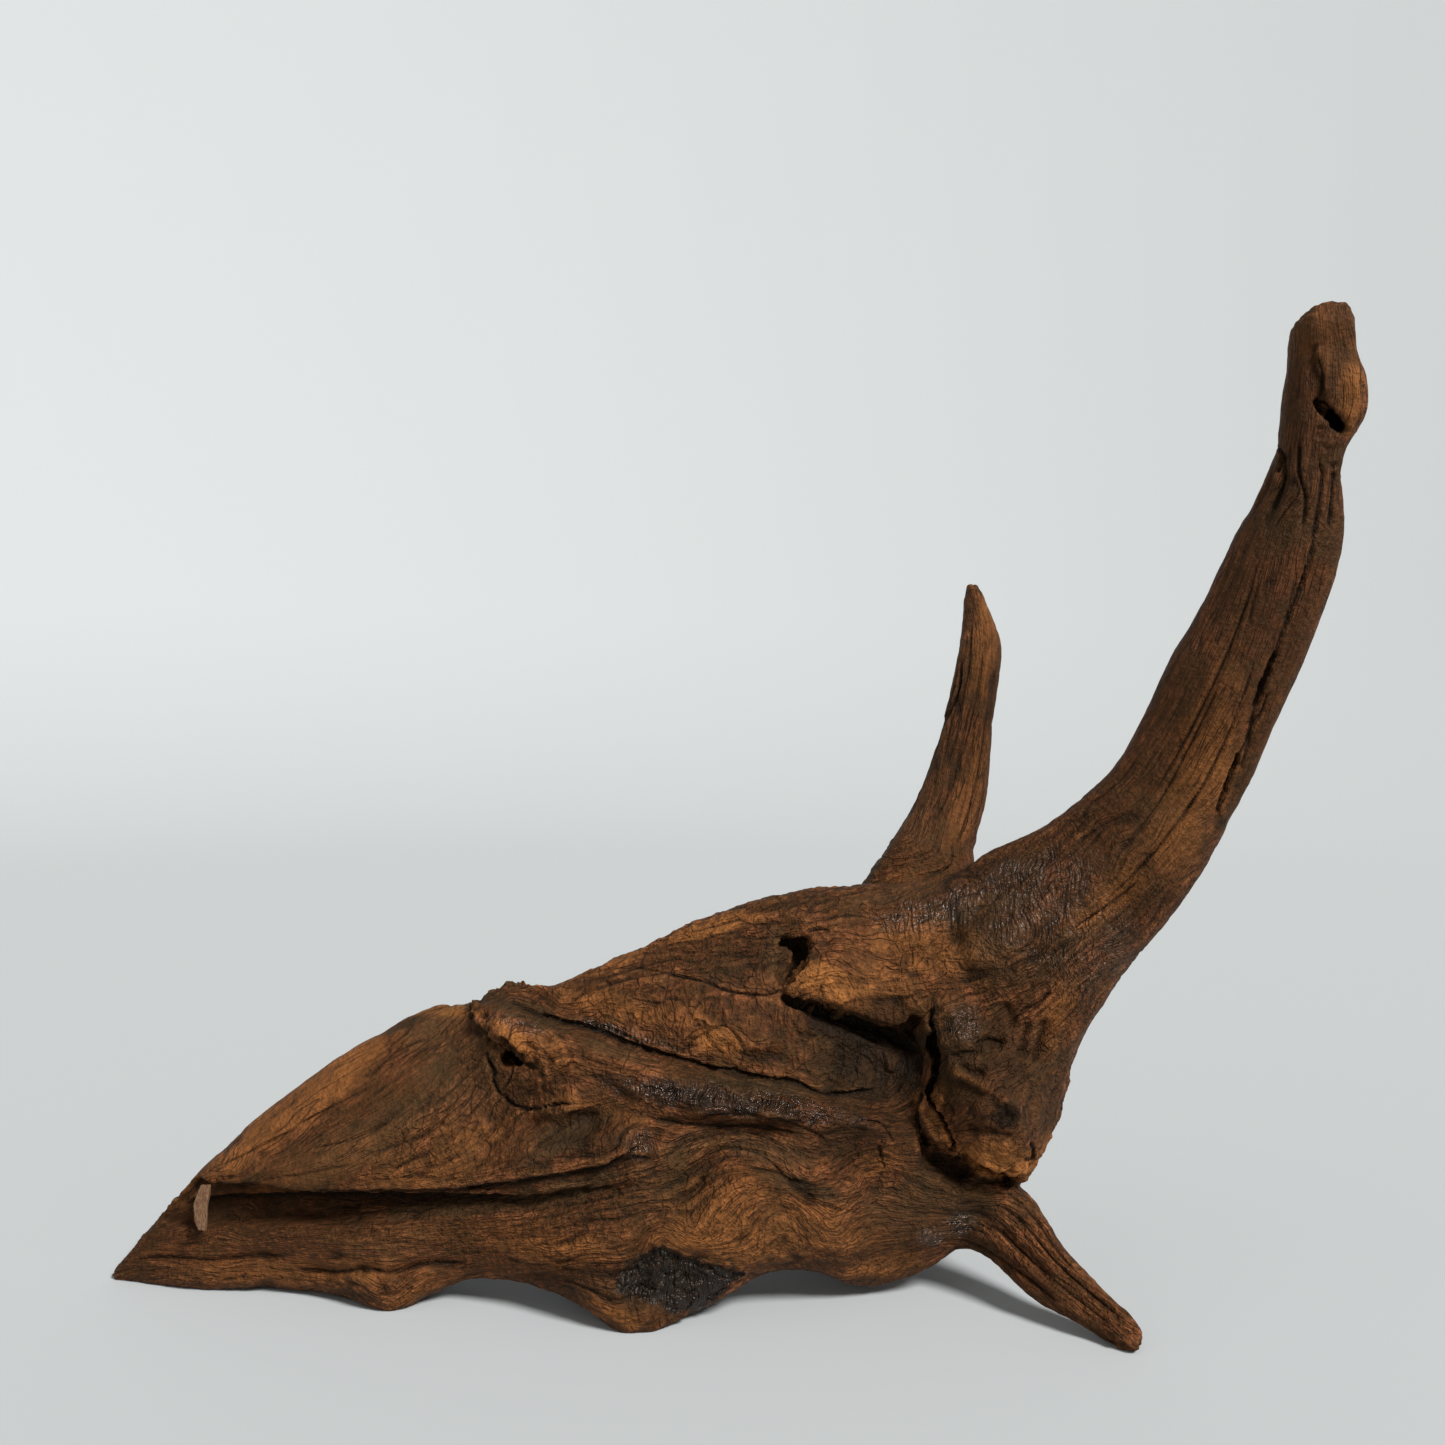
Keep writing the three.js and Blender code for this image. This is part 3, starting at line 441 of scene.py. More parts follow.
# Painted shade, the darkest: under the flap, in the stump's hole and cracks, in the plate's slot, in the
# cave under the lobe's rim, in the limb's hole and under the ledge
HOLLOW_PX = (
    ((850, 1030), (72, 17), 13, 1.0), ((910, 1052), (18, 36), -8, 0.95), ((793, 973), (5, 13), 28, 0.9),
    ((800, 946), (12, 6), 0, 0.6), ((935, 1050), (6, 50), 0, 0.9), ((516, 1058), (6, 5), 0, 1.0),
    ((508, 1046), (15, 4), 45, 0.85), ((945, 1166), (30, 14), 25, 0.85), ((1334, 424), (12, 8), 30, 0.9),
    ((930, 1120), (10, 26), -20, 0.6), ((240, 1206), (60, 6), -2, 0.4), ((400, 1199), (90, 5), 0, 0.3),
)
GLOSS_PX = (
    ((690, 1096), (80, 13), 10, 1.0), ((790, 1108), (60, 12), 10, 1.0), ((640, 1143), (13, 13), 0, 1.0),
    ((620, 1032), (50, 5), 16, 0.7), ((958, 1225), (14, 10), 0, 1.0), ((932, 1237), (12, 8), 0, 1.0),
    ((1040, 905), (60, 40), -30, 0.4), ((680, 1285), (50, 22), 0, 0.25),
    ((1000, 880), (60, 14), -25, 0.45), ((1085, 950), (40, 50), 30, 0.35),
    ((966, 1022), (16, 20), 0, 0.4), ((930, 915), (50, 14), -10, 0.6), ((520, 1025), (24, 6), 20, 0.6),
)
# Where the fibres are curly
CURL_PX = (
    ((1030, 900), (60, 50), -30, 0.7), ((1080, 960), (50, 60), 30, 0.8), ((980, 960), (50, 40), 0, 0.8),
    ((745, 965), (44, 24), 0, 0.8), ((860, 1150), (40, 40), 0, 0.7), ((1010, 1070), (60, 50), 0, 0.9),
    ((640, 1150), (30, 40), 0, 0.6), ((760, 1110), (90, 18), 8, 1.0), ((860, 1060), (50, 30), 0, 0.7),
    ((680, 1096), (70, 20), 12, 1.0), ((990, 1080), (70, 80), 0, 0.8), ((600, 1010), (90, 22), 14, 0.6),
    ((700, 945), (80, 24), -16, 0.7), ((700, 1030), (50, 24), 10, 0.6), ((540, 1060), (60, 30), 20, 0.6),
    ((870, 1150), (60, 50), 0, 0.9), ((900, 910), (90, 26), -12, 0.7), ((850, 960), (60, 30), 0, 0.4),
    ((460, 1060), (40, 50), 0, 0.5), ((780, 1215), (120, 50), 6, 0.35), ((640, 1240), (60, 40), 0, 0.3),
    ((930, 1190), (60, 20), 10, 0.4), ((680, 1285), (60, 34), 0, 0.6),
)
# Where the wood is smoother and more even, on both sides of it
CALM_PX = (
    ((1225, 690), (230, 84), -64, 1.0), ((1310, 420), (130, 60), -80, 1.0),
    ((968, 730), (150, 60), -72, 1.0), ((310, 1120), (180, 60), -36, 0.85),
    ((260, 1215), (150, 14), 0, 0.8), ((300, 1260), (190, 20), 2, 0.6), ((900, 1230), (60, 30), -10, 0.4),
)
TONES_PX = {
    "amber": AMBER_PX, "grey": GREY_PX, "char": CHAR_DABS_PX, "gloss": GLOSS_PX, "curl": CURL_PX,
    "shade": SHADE_PX, "hollow": HOLLOW_PX, "calm": CALM_PX,
}
# The three values that each attribute keeps at a vertex, for the finish
KEPT = {
    "tone": ("amber", "grey", "char"),
    "finish": ("gloss", "curl", "hollow"),
    "wear": ("wear", "shade", "calm"),
}
# Tones where the photo shows nothing: the tone, the size of its patches (mm), their noise pattern,
# the noise that they start at and are full at, and how strong they are
BACK_PATCHES = (
    ("amber", 26.0, 22, 0.1, 0.6, 0.5),
    ("grey", 22.0, 23, 0.05, 0.55, 0.7),
    # The last darkens the wood in random patches
    ("shade", 30.0, 24, -0.1, 0.6, 0.6),
)

# How the lips are carved: rise, drop, reach round the line and width of the edge in millimetres,
# and the share of the line that each of its ends takes to run out
LIPS_PX = (
    (LEDGE_PX, 1.0, 2.4, 6.0, 0.7, 0.05), (PLATE_EDGE_PX, 1.2, 1.0, 4.0, 0.5, 0.08),
    (FLAP_EDGE_PX, 0.4, 1.0, 4.0, 0.6, 0.05), (LIMB_PLATE_PX, 0.7, 0.9, 4.0, 0.6, 0.1),
    (LOBE_RIM_PX, 0.9, 1.2, 5.0, 0.6, 0.05), (LONG_CRACK_PX, 0.5, 0.9, 3.5, 0.5, 0.08),
)
# How ridges and valleys are carved: half width and height, or depth below 0, in millimetres
FORMS_PX = (
    (CRACK_RIDGE_PX, 7.0, 1.6), (LEAF_RIDGE_PX, 2.6, 1.2), (LEAF_VALLEY_PX, 3.0, -2.2),
    (LEAF_VALLEY_2_PX, 2.2, -1.2), (LEAF_FOLD_PX, 3.2, -1.8), (KNOT_SIDE_PX, 3.0, -1.2),
    (CAVE_PX, 5.0, -3.5), (SLIVER_PX, 1.6, 1.6), (LIMB_KNOB_PX, 4.0, 1.2), (BAR_CREASE_PX, 2.4, -1.4),
    (LUMP_CREASE_PX, 2.0, -1.2), (RECESS_LINE_PX, 1.6, -0.7), (BAR_LINE_PX, 1.8, -1.3),
    (LIMB_CRACK_PX, 2.4, -0.6), (UNDER_FLAP_PX, 4.0, -4.0), (GLOSS_ROLL_PX, 5.0, 2.4),
    (GLOSS_VALLEY_PX, 3.0, -2.4), (LOBE_PAD_PX, 2.2, 2.2), (LOBE_SHELF_PX, 2.0, 1.5),
    (LOBE_CRUMBS_PX, 1.6, 2.2), (NECK_CREASE_PX, 6.0, 1.3),
)
FORMS_PX += tuple((line_px, 2.2, -2.3) for line_px in LOBE_VALLEYS_PX)
FORMS_PX += tuple((line_px, 2.0, -0.9) for line_px in ARCS_PX)
FORMS_PX += tuple((line_px, 1.6, -1.0) for line_px in GLOSS_FOLDS_PX)
FORMS_PX += tuple((line_px, 2.4, -1.1) for line_px in ROOT_LINES_PX)
FORMS_PX += tuple((line_px, 2.6, -1.0) for line_px in NECK_FOLDS_PX)
FORMS_PX += tuple((line_px, 1.6, -0.5) for line_px in LIMB_STREAKS_PX)
# How cracks are carved: half width and depth, in millimetres
CRACKS_PX = (
    (LONG_CRACK_PX, 0.9, 2.2), (CRACK_BRANCH_PX, 0.6, 1.2), (FISSURE_PX, 0.6, 1.8),
    (FISSURE_SIDE_PX, 0.5, 1.1), (FISSURE_TOP_PX, 0.6, 1.1), (UPPER_CRACK_PX, 0.7, 1.4),
    (FLAP_SHADOW_PX, 2.2, 3.2), (TALL_CRACK_PX, 0.8, 4.5), (TALL_GAP_PX, 1.6, 4.5),
    (FLAP_SIDE_PX, 1.2, 2.4), (FLAP_CRACK_PX, 0.5, 0.9), (HOLE_CRACK_PX, 0.7, 1.2),
    (KNOT_CREASE_PX, 0.9, 1.8), (KNOT_CREASE_2_PX, 0.7, 1.2), (LENS_INNER_PX, 0.5, 0.6),
    (BAR_LINE_PX, 0.7, 0.8), (BAR_CREASE_PX, 0.8, 0.9), (SLIVER_LEFT_PX, 1.0, 1.8),
    (LOBE_NICK_PX, 0.8, 1.6), (LIMB_CRACK_PX, 0.6, 1.3), (LIMB_LENS_PX, 1.1, 3.6),
    (LIMB_LENS_2_PX, 1.0, 3.6), (LIMB_TOP_CRACK_PX, 0.7, 1.2), (LIMB_SIDE_PX, 0.7, 1.3),
    (LIMB_SLOT_PX, 1.7, 4.5), (LIMB_NOTCH_PX, 0.8, 1.6), (GLOSS_VALLEY_PX, 0.8, 1.0),
    (PLATE_RIM_PX, 0.8, 0.8), (PLATE_HOLLOW_PX, 1.3, 2.6), (LEDGE_PX, 0.8, 1.0),
    (LEAF_VALLEY_PX, 0.6, 0.8),
)
CRACKS_PX += tuple((line_px, 0.5, 0.7) for line_px in SHIELD_CRACKS_PX + UPPER_CREASES_PX)
CRACKS_PX += tuple((line_px, 0.55, 1.0) for line_px in RECESS_CRACKS_PX + LOBE_CRACKS_PX)
CRACKS_PX += tuple((line_px, 0.8, 1.4) for line_px in LIMB_NECK_PX)
CRACKS_PX += tuple((line_px, 0.6, 0.8) for line_px in LIMB_STREAKS_PX + ROOT_LINES_PX + ARCS_PX)
REAR_CRACKS_PX = ((REAR_CRACK_PX, 0.9, 1.8),) + tuple((line_px, 0.8, 0.8) for line_px in REAR_STREAKS_PX)
# Closed lines that the wood sinks inside: depth and width of the edge, in millimetres
SUNK_PX = ((HOLE_PX, 2.0, 1.2), (LIMB_HOLE_PX, 4.0, 0.9), (CHAR_PX, 1.2, 1.5))

# Broken edges that crumble: the line, how far round it, and how rough (mm)
CRUMBLING_PX = (
    (PLATE_RIM_PX, 5.0, 1.8), (PLATE_EDGE_PX, 4.0, 0.8), (PLATE_NODULES_PX, 7.0, 1.0),
    (FLAP_EDGE_PX, 4.0, 0.6), (LOBE_RIM_PX, 8.0, 1.1), (LIMB_END_PX, 5.0, 0.5), (HOLE_PX, 4.0, 1.0),
    (LEDGE_END_PX, 4.0, 0.7), (TALL_CRACK_PX, 3.0, 0.7), (SLIVER_PX, 3.0, 0.6),
    (LOBE_CRUMBS_PX, 3.0, 1.2), (LOBE_SIDE_PX, 4.0, 0.8), (CHAR_PX, 4.0, 0.6), (FISSURE_PX, 3.0, 0.5),
    (LIMB_FRAY_PX, 6.0, 0.8), (TOP_EDGE_PX, 6.0, 0.4), (LIMB_PLATE_PX, 3.0, 0.4), (ROOT_TIP_PX, 7.0, 0.9),
)

# Lines and tips that the first smoothing spares, and how far round them (mm)
CRISP_LINES_PX = (
    (LEDGE_PX, 3.0), (FLAP_EDGE_PX, 4.0), (TALL_CRACK_PX, 3.0), (LOBE_RIM_PX, 4.0), (PLATE_EDGE_PX, 3.0),
    (PLATE_RIM_PX, 2.5), (FISSURE_PX, 2.5), (LONG_CRACK_PX, 2.0), (LIMB_HOLE_PX, 3.0),
)
TIPS_MM = (((-237, -2, 2), 18), ((226, -51, 381), 16), ((120, 70, 285), 14), ((155, -73, 2), 14))
# Lines where seams and coarse slots are smoothed away before they are cut finer
BLUNT_LINES_PX = (LIMB_CRACK_PX, LIMB_TOP_CRACK_PX)
BLUNT_REACH_MM = 7.0
# Each round of smoothing draws the wood in and then lets it out a little further, so it keeps its size
SMOOTH_IN = 0.5
SMOOTH_OUT = 0.53
# A slanting turn, so that patterns in space line up with nothing
OBLIQUE = np.array(Matrix.Rotation(0.9, 3, Vector((1.0, 2.0, 3.0)).normalized()))

# Sizes of the carved patterns across, through and along the grain, then in space (mm)
SWELL_MM = (9.0, 24.0, 38.0)
SMALL_SWELL_MM = (4.6, 14.0, 26.0)
RIB_MM = (3.0, 9.0, 26.0)
SMALL_RIB_MM = (1.7, 5.0, 14.0)
CHECK_MM = (3.4, 12.0, 30.0)
FOLD_MM = (4.8, 12.0, 19.0)
SMALL_FOLD_MM = (2.5, 7.0, 9.0)
DRY_PATCH_MM = 17.0
TANGLE_MM = 8.0
BUMPS_MM = (4.5, 2.6)
ROUGH_MM = 1.9
CHAR_BLOCK_MM = 3.6
CRUMBS_MM = (2.1, 1.3, 6.0)
RAGGED_MM = (6.0, 2.4)           # the ragged edges of the tones
CURL_REACH_MM = 9.0
CURL_MM = (2.0, 2.0, 4.0)        # how far curly fibres stray, each way
# How far they stand out: on straight wood, and how much more on curly wood
FOLD_DEPTH_MM = (0.14, 0.38)
BUMP_DEPTH_MM = (0.18, 0.12)
ROUGH_DEPTH_MM = 0.10
CHAR_BLOCK_DEPTH_MM = 1.3
# The share of a line over which each of its ends runs out
CRACK_ENDS = 0.12
RIDGE_ENDS = 0.2
# Rounds of averaging that show how deep a vertex lies in a recess, and in the grain, for painted shade
# there and painted light on ridges
DEEP_ROUNDS = 56
CREASE_ROUNDS = 14
BOX_GAP_MM = 0.02
CHIP_GRID_MM = 0.3
CHIP_RIB_MM = (0.9, 0.9, 12.0)   # across, through and up the splinter
CHIP_ROUGH_MM = 0.8

# The stage: where the lights come from, how wide they look, and how finely the floor is made
KEY_FROM = (1.4, -1.6, 2.1)
KEY_WIDTH_DEG = 16
FILL_FROM = (-1.9, -1.2, 1.2)
FILL_WIDTH_DEG = 60
SKY_COLOUR = "#f4f4f2"
RIM_STEPS = 12
RIM_REACH = 16                   # how far the slope past the rim goes on, in radii of the flat floor
FLOOR_STEPS = 96


def linear(hex_colour):
    """An sRGB hex colour as the linear colour that a shader takes."""
    channels = [int(hex_colour[i:i + 2], 16) / 255 for i in (1, 3, 5)]
    return [c / 12.92 if c <= 0.04045 else ((c + 0.055) / 1.055) ** 2.4 for c in channels] + [1.0]


class DriftwoodCarving(bpy.types.PropertyGroup):
    """How finely and how deeply the wood is carved."""
    grid: FloatProperty(
        name="Carving grid", description="Grid that the joined wood is rebuilt on, before it is halved",
        default=0.0016, min=0.0008, subtype="DISTANCE", unit="LENGTH")
    soften: IntProperty(
        name="Softening", description="Rounds of smoothing that take the flat facets out",
        default=22, min=0)
    lump_depth: FloatProperty(
        name="Lumps", description="How far the slow swells along the grain stand out",
        default=0.0005, min=0, subtype="DISTANCE", unit="LENGTH")
    fibre_depth: FloatProperty(
        name="Fibres", description="How far the ribs of the grain stand out",
        default=0.00032, min=0, subtype="DISTANCE", unit="LENGTH")
    check_depth: FloatProperty(
        name="Checks", description="Depth of the small drying cracks along the grain",
        default=0.0007, min=0, subtype="DISTANCE", unit="LENGTH")
    triangles: IntProperty(
        name="Triangles", description="Triangles that the carved wood is thinned to, all branches together",
        default=245000, min=20000)


class DriftwoodFinish(bpy.types.PropertyGroup):
    """Colours of the weathered wood."""
    # Also the colour of the painted shade in creases and recesses, and of the darker patches
    gap_and_shade_brown: FloatVectorProperty(
        name="Hollow brown", description="Dark brown between the fibres",
        default=linear("#201206")[:3], size=3, subtype="COLOR", min=0, max=1)
    heart_brown: FloatVectorProperty(
        name="Heart brown", description="Middle brown of the bare wood",
        default=linear("#4a2d18")[:3], size=3, subtype="COLOR", min=0, max=1)
    fibre_brown: FloatVectorProperty(
        name="Fibre brown", description="Light brown on the worn ribs of the grain",
        default=linear("#7b5132")[:3], size=3, subtype="COLOR", min=0, max=1)
    amber: FloatVectorProperty(
        name="Amber", description="Orange brown where the surface has rubbed or broken off",
        default=linear("#965e2f")[:3], size=3, subtype="COLOR", min=0, max=1)
    silt_grey: FloatVectorProperty(
        name="Silt grey", description="Greenish grey brown in the hollows that held water and silt",
        default=linear("#403420")[:3], size=3, subtype="COLOR", min=0, max=1)
    # Also the colour of the darkest painted shade: in cracks, under lips and the flap, and in holes
    char: FloatVectorProperty(
        name="Char", description="Nearly black brown of the rotted and charred patches",
        default=linear("#0f0a06")[:3], size=3, subtype="COLOR", min=0, max=1)
    splinter: FloatVectorProperty(
        name="Splinter", description="Pale greyish pink of the loose splinter",
        default=linear("#6c523b")[:3], size=3, subtype="COLOR", min=0, max=1)


class DriftwoodStage(bpy.types.PropertyGroup):
    """The floor and the light for the picture."""
    floor_colour: FloatVectorProperty(
        name="Floor", description="Colour of the pale floor",
        default=linear("#a9acac")[:3], size=3, subtype="COLOR", min=0, max=1)
    floor_radius: FloatProperty(
        name="Floor radius", description="Radius of the flat floor, up to where its rim starts to rise",
        default=1.4, min=1, subtype="DISTANCE", unit="LENGTH")
    rim_slope: FloatProperty(
        name="Rim slope", description="How steep the floor's rim becomes",
        default=math.radians(30), min=0, subtype="ANGLE", unit="ROTATION")
    key_power: FloatProperty(
        name="Key light", description="Strength of the broad light in front, to the right and above",
        default=5.0, min=0)
    fill_power: FloatProperty(
        name="Fill light", description="Strength of the weak light from the left",
        default=0.3, min=0)
    sky: FloatProperty(
        name="Sky", description="Strength of the even light from all round",
        default=0.32, min=0)


# Picture geometry

def photo_axes():
    """The photo's right, down and ahead directions in the part's frame."""
    yaw, pitch, roll = (math.radians(a) for a in (PHOTO_YAW_DEG, PHOTO_PITCH_DEG, PHOTO_ROLL_DEG))
    ahead = np.array((math.sin(yaw) * math.cos(pitch), math.cos(yaw) * math.cos(pitch), math.sin(pitch)))
    level = np.array((math.cos(yaw), -math.sin(yaw), 0.0))
    right = level * math.cos(roll) + np.cross(level, ahead) * math.sin(roll)
    return right, np.cross(ahead, right), ahead


def smoothstep(value, start, end):
    """0 before start, 1 after end and an even rise between them; start may be the larger."""
    share = np.clip((value - start) / (end - start), 0, 1)
    return share * share * (3 - 2 * share)


def rounded(points, closed=False, step=3.0):
    """A given line with its corners taken off: a curve through its points, a point every step."""
    points = np.array(points, float)
    if closed:
        ring = np.vstack((points[-1:], points, points[:2]))
    else:
        ring = np.vstack((2 * points[0] - points[1], points, 2 * points[-1] - points[-2]))
    curve = []
    for a, b, c, d in zip(ring, ring[1:], ring[2:], ring[3:]):
        count = max(2, int(np.linalg.norm(c - b) / step))
        t = np.linspace(0, 1, count, endpoint=False)[:, None]
        curve.append(0.5 * (2 * b + (c - a) * t + (2 * a - 5 * b + 4 * c - d) * t ** 2
                            + (3 * b - a - 3 * c + d) * t ** 3))
    curve.append(ring[-2][None])
    return np.vstack(curve)


def nearest_on_line(points, line):
    """For each point: distance to a line, its side (+1 on the right hand in the picture), share along."""
    starts = line[:-1]
    spans = line[1:] - starts
    lengths = np.maximum(np.linalg.norm(spans, axis=1), 1e-9)
    before = np.concatenate(((0,), np.cumsum(lengths)))
    best = np.full(len(points), np.inf)
    side = np.ones(len(points))
    share = np.zeros(len(points))
    for start, span, length, passed in zip(starts, spans, lengths, before):
        apart = points - start
        along = np.clip(apart @ span / length ** 2, 0, 1)
        gap = apart - along[:, None] * span
        distance = np.einsum("ij,ij->i", gap, gap)
        nearer = distance < best
        best = np.where(nearer, distance, best)
        cross = span[0] * apart[:, 1] - span[1] * apart[:, 0]
        side = np.where(nearer, np.sign(cross) + (cross == 0), side)
        share = np.where(nearer, (passed + along * length) / before[-1], share)
    return np.sqrt(best), side, share


def spline_field(places, values):
    """A thin-plate spline: the smoothest field that takes these values at these places."""
    places = np.array(places, float) / PHOTO_SIDE_PX
    count = len(places)

    def bend(squared):
        return squared * np.log(squared + 1e-12)

    gaps = ((places[:, None] - places[None]) ** 2).sum(-1)
    plane = np.column_stack((np.ones(count), places))
    system = np.zeros((count + 3, count + 3))
    system[:count, :count] = bend(gaps) + 1e-5 * np.eye(count)
    system[:count, count:] = plane
    system[count:, :count] = plane.T
    weights = np.linalg.solve(system, np.concatenate((values, np.zeros(3))))

    def field(points):
        points = points / PHOTO_SIDE_PX
        result = weights[count] + points @ weights[count + 1:]
        for place, weight in zip(places, weights):
            result += weight * bend(((points - place) ** 2).sum(-1))
        return result

    return field


def noise(points, size, number):
    """Smooth random values from -1 to 1 that swing over about this size. Each number gives a pattern."""
    draws = np.random.default_rng(SEED + number).uniform(-1, 1, NOISE_DRAWS)
    points = points / size
    cell = np.floor(points).astype(np.int64)
    part = points - cell
    part = part * part * (3 - 2 * part)
    total = np.zeros(len(points))
    for corner in range(8):
        offset = np.array((corner & 1, corner >> 1 & 1, corner >> 2))
        x, y, z = ((cell + offset) * NOISE_PRIMES).T
        weight = np.prod(np.where(offset, part, 1 - part), axis=1)
        total += weight * draws[(x ^ y ^ z) % NOISE_DRAWS]
    return total


# The wood while it is carved

class Wood:
    """The joined wood's vertices in millimetres, with what is known at each one."""

    def __init__(self, mesh):
        self.mesh = mesh
        self.edges = np.empty(len(mesh.edges) * 2, np.int32)
        mesh.edges.foreach_get("vertices", self.edges)
        self.edges = self.edges.reshape(-1, 2)
        self.read()
        for tone in TONES_PX:
            setattr(self, tone, np.zeros(len(mesh.vertices)))

    def read(self):
        """Reads places and normals from the mesh, and works out where the photo shows each vertex."""
        flat = np.empty(len(self.mesh.vertices) * 3, np.float32)
        self.mesh.vertices.foreach_get("co", flat)
        self.place = flat.reshape(-1, 3).astype(float) / MM
        self.mesh.vertex_normals.foreach_get("vector", flat)
        self.normal = flat.reshape(-1, 3).astype(float)
        right, down, ahead = photo_axes()
        sight = self.place - np.array(PHOTO_EYE_MM)
        depth = sight @ ahead
        aside = PHOTO_FOCAL_PX * np.column_stack((sight @ right, sight @ down)) / depth[:, None]
        self.px = PHOTO_SIDE_PX / 2 + aside
        self.scale = depth / PHOTO_FOCAL_PX

        # How far each vertex is in view: on the front, on the rear limb, at the outline, and face on
        towards = -np.einsum("ij,ij->i", self.normal, sight) / np.linalg.norm(sight, axis=1)
        body = smoothstep(self.place[:, 1], *BACK_MM)
        from_rear_limb = branch_frame(self.place, REAR_LINE_MM)[0]
        rear = smoothstep(from_rear_limb, *REAR_REACH_MM) * smoothstep(self.place[:, 2], *REAR_FOOT_MM)
        self.seen = smoothstep(towards, -0.15, 0.2) * np.maximum(body * (1 - rear), 0)
        self.seen_rear = smoothstep(towards, -0.15, 0.2) * rear
        self.rim = smoothstep(towards, -0.5, -0.05)
        self.facing = smoothstep(towards, 0.05, 0.5)

    def write(self):
        """Puts the moved vertices into the mesh."""
        self.mesh.vertices.foreach_set("co", (self.place * MM).astype(np.float32).ravel())
        self.mesh.update()

    def settle(self):
        """Puts the moved vertices into the mesh and takes the new normals from it."""
        self.write()
        self.read()

    def push(self, amount):
        """Moves each vertex along its normal."""
        self.place += self.normal * amount[:, None]

    def push_at(self, at, amount):
        """Moves some of the vertices along their normals."""
        self.place[at] += self.normal[at] * amount[:, None]

    def paint_shade_at(self, at, amount):
        """Paints shade onto some of the vertices, where they don't already have more of it."""
        self.hollow[at] = np.maximum(self.hollow[at], amount)

    def near_line(self, line_px, reach_mm, seen, closed=False):
        """Seen vertices within reach of a line: which, how far (mm), on which side, share along."""
        line = rounded(line_px, closed)
        margin = reach_mm / MM_PER_PX
        close = self.in_box(seen, line.min(0) - margin, line.max(0) + margin)
        distance, side, share = nearest_on_line(self.px[close], line)
        distance = distance * self.scale[close]
        within = distance < reach_mm
        return close[within], distance[within], side[within], share[within]

    def in_box(self, seen, low, high):
        """Seen vertices that the photo shows between two corners (px)."""
        return np.flatnonzero((seen > 0.01) & (self.px >= low).all(1) & (self.px <= high).all(1))

    def inside_line(self, outline_px):
        """Seen vertices in the box of a closed line: which, how far from the line (mm), 1 if inside."""
        outline = rounded(outline_px, closed=True)
        close = self.in_box(self.seen, outline.min(0), outline.max(0))
        x, y = self.px[close].T
        inside = np.zeros(len(close), bool)
        for (x0, y0), (x1, y1) in zip(outline, outline[1:]):
            crosses = (y0 > y) != (y1 > y)
            inside ^= crosses & (x < (x1 - x0) * (y - y0) / (y1 - y0 + 1e-12) + x0)
        distance = nearest_on_line(self.px[close], outline)[0]
        return close, distance * self.scale[close], inside.astype(float)

    def neighbours_mean(self, values):
        """The mean of each vertex's neighbours, for one value at each vertex or for a place."""
        first, second = self.edges.T
        count = len(self.place)
        links = np.bincount(first, minlength=count) + np.bincount(second, minlength=count)
        total = []
        for column in values.reshape(count, -1).T:
            ahead = np.bincount(first, column[second], count)
            total.append(ahead + np.bincount(second, column[first], count))
        return (np.array(total) / links).T.reshape(values.shape)

    def sunk(self, rounds):
        """How far each vertex lies below the wood round it, averaged over so many rings of neighbours."""
        evened = self.place
        for _ in range(rounds):
            evened = 0.5 * (evened + self.neighbours_mean(evened))
        return np.einsum("ij,ij->i", evened - self.place, self.normal)


def tapered(share, ends):
    """1 along a line, falling to 0 over this share of it at each end."""
    return smoothstep(np.minimum(share, 1 - share), 0, ends)


def cut_groove(wood, line_px, width, depth, seen, closed=False):
    """A crack: steep sides, as wide and deep as given, that runs out at its ends."""
    at, distance, _, share = wood.near_line(line_px, width * 1.6, seen, closed)
    run = 1.0 if closed else tapered(share, CRACK_ENDS)
    wander = 1 + 0.35 * noise(wood.place[at], 3.1, len(line_px))
    fall = np.clip(1 - (distance / (width * wander)) ** 2, 0, 1)
    wood.push_at(at, -(depth * fall * run * seen[at]))
    # Painted shade inside the crack
    wood.paint_shade_at(at, np.sqrt(fall) * run * seen[at] * min(1.0, depth / 1.6))


def raise_ridge(wood, line_px, width, height):
    """A rounded ridge, or a soft valley where the height is negative."""
    at, distance, _, share = wood.near_line(line_px, width * 2.5, wood.seen)
    wood.push_at(at, height * np.exp(-(distance / width) ** 2) * tapered(share, RIDGE_ENDS) * wood.seen[at])


def turn_lip(wood, line_px, rise, drop, reach, edge, ends):
    """An edge: the wood rises on the line's left hand and drops sharply on its right hand."""
    at, distance, side, share = wood.near_line(line_px, reach * 3, wood.seen)
    run = tapered(share, ends)
    signed = distance * side + 0.5 * noise(wood.place[at], 2.3, 5)
    fall = np.tanh(signed / edge)
    amount = np.where(signed < 0, rise, -drop) * np.abs(fall) * np.exp(-(distance / reach) ** 2) * run
    wood.push_at(at, amount * wood.seen[at])
    # Painted shade along the edge and on the side that drops, under the lip
    shade = np.where(signed > -0.3, np.exp(-(distance / (reach * 0.45)) ** 2), 0) * run * wood.seen[at]
    wood.paint_shade_at(at, 0.85 * shade * min(1.0, (rise + drop) / 2.5))


def sink_patch(wood, outline_px, depth, edge):
    """Sinks the wood inside a closed line, with a steep edge."""
    at, distance, inside = wood.inside_line(outline_px)
    fall = smoothstep(distance, 0, edge) * inside * wood.seen[at]
    wood.push_at(at, -(depth * fall))
    # Painted shade inside the sunk patch
    wood.paint_shade_at(at, fall * min(1.0, depth / 3))


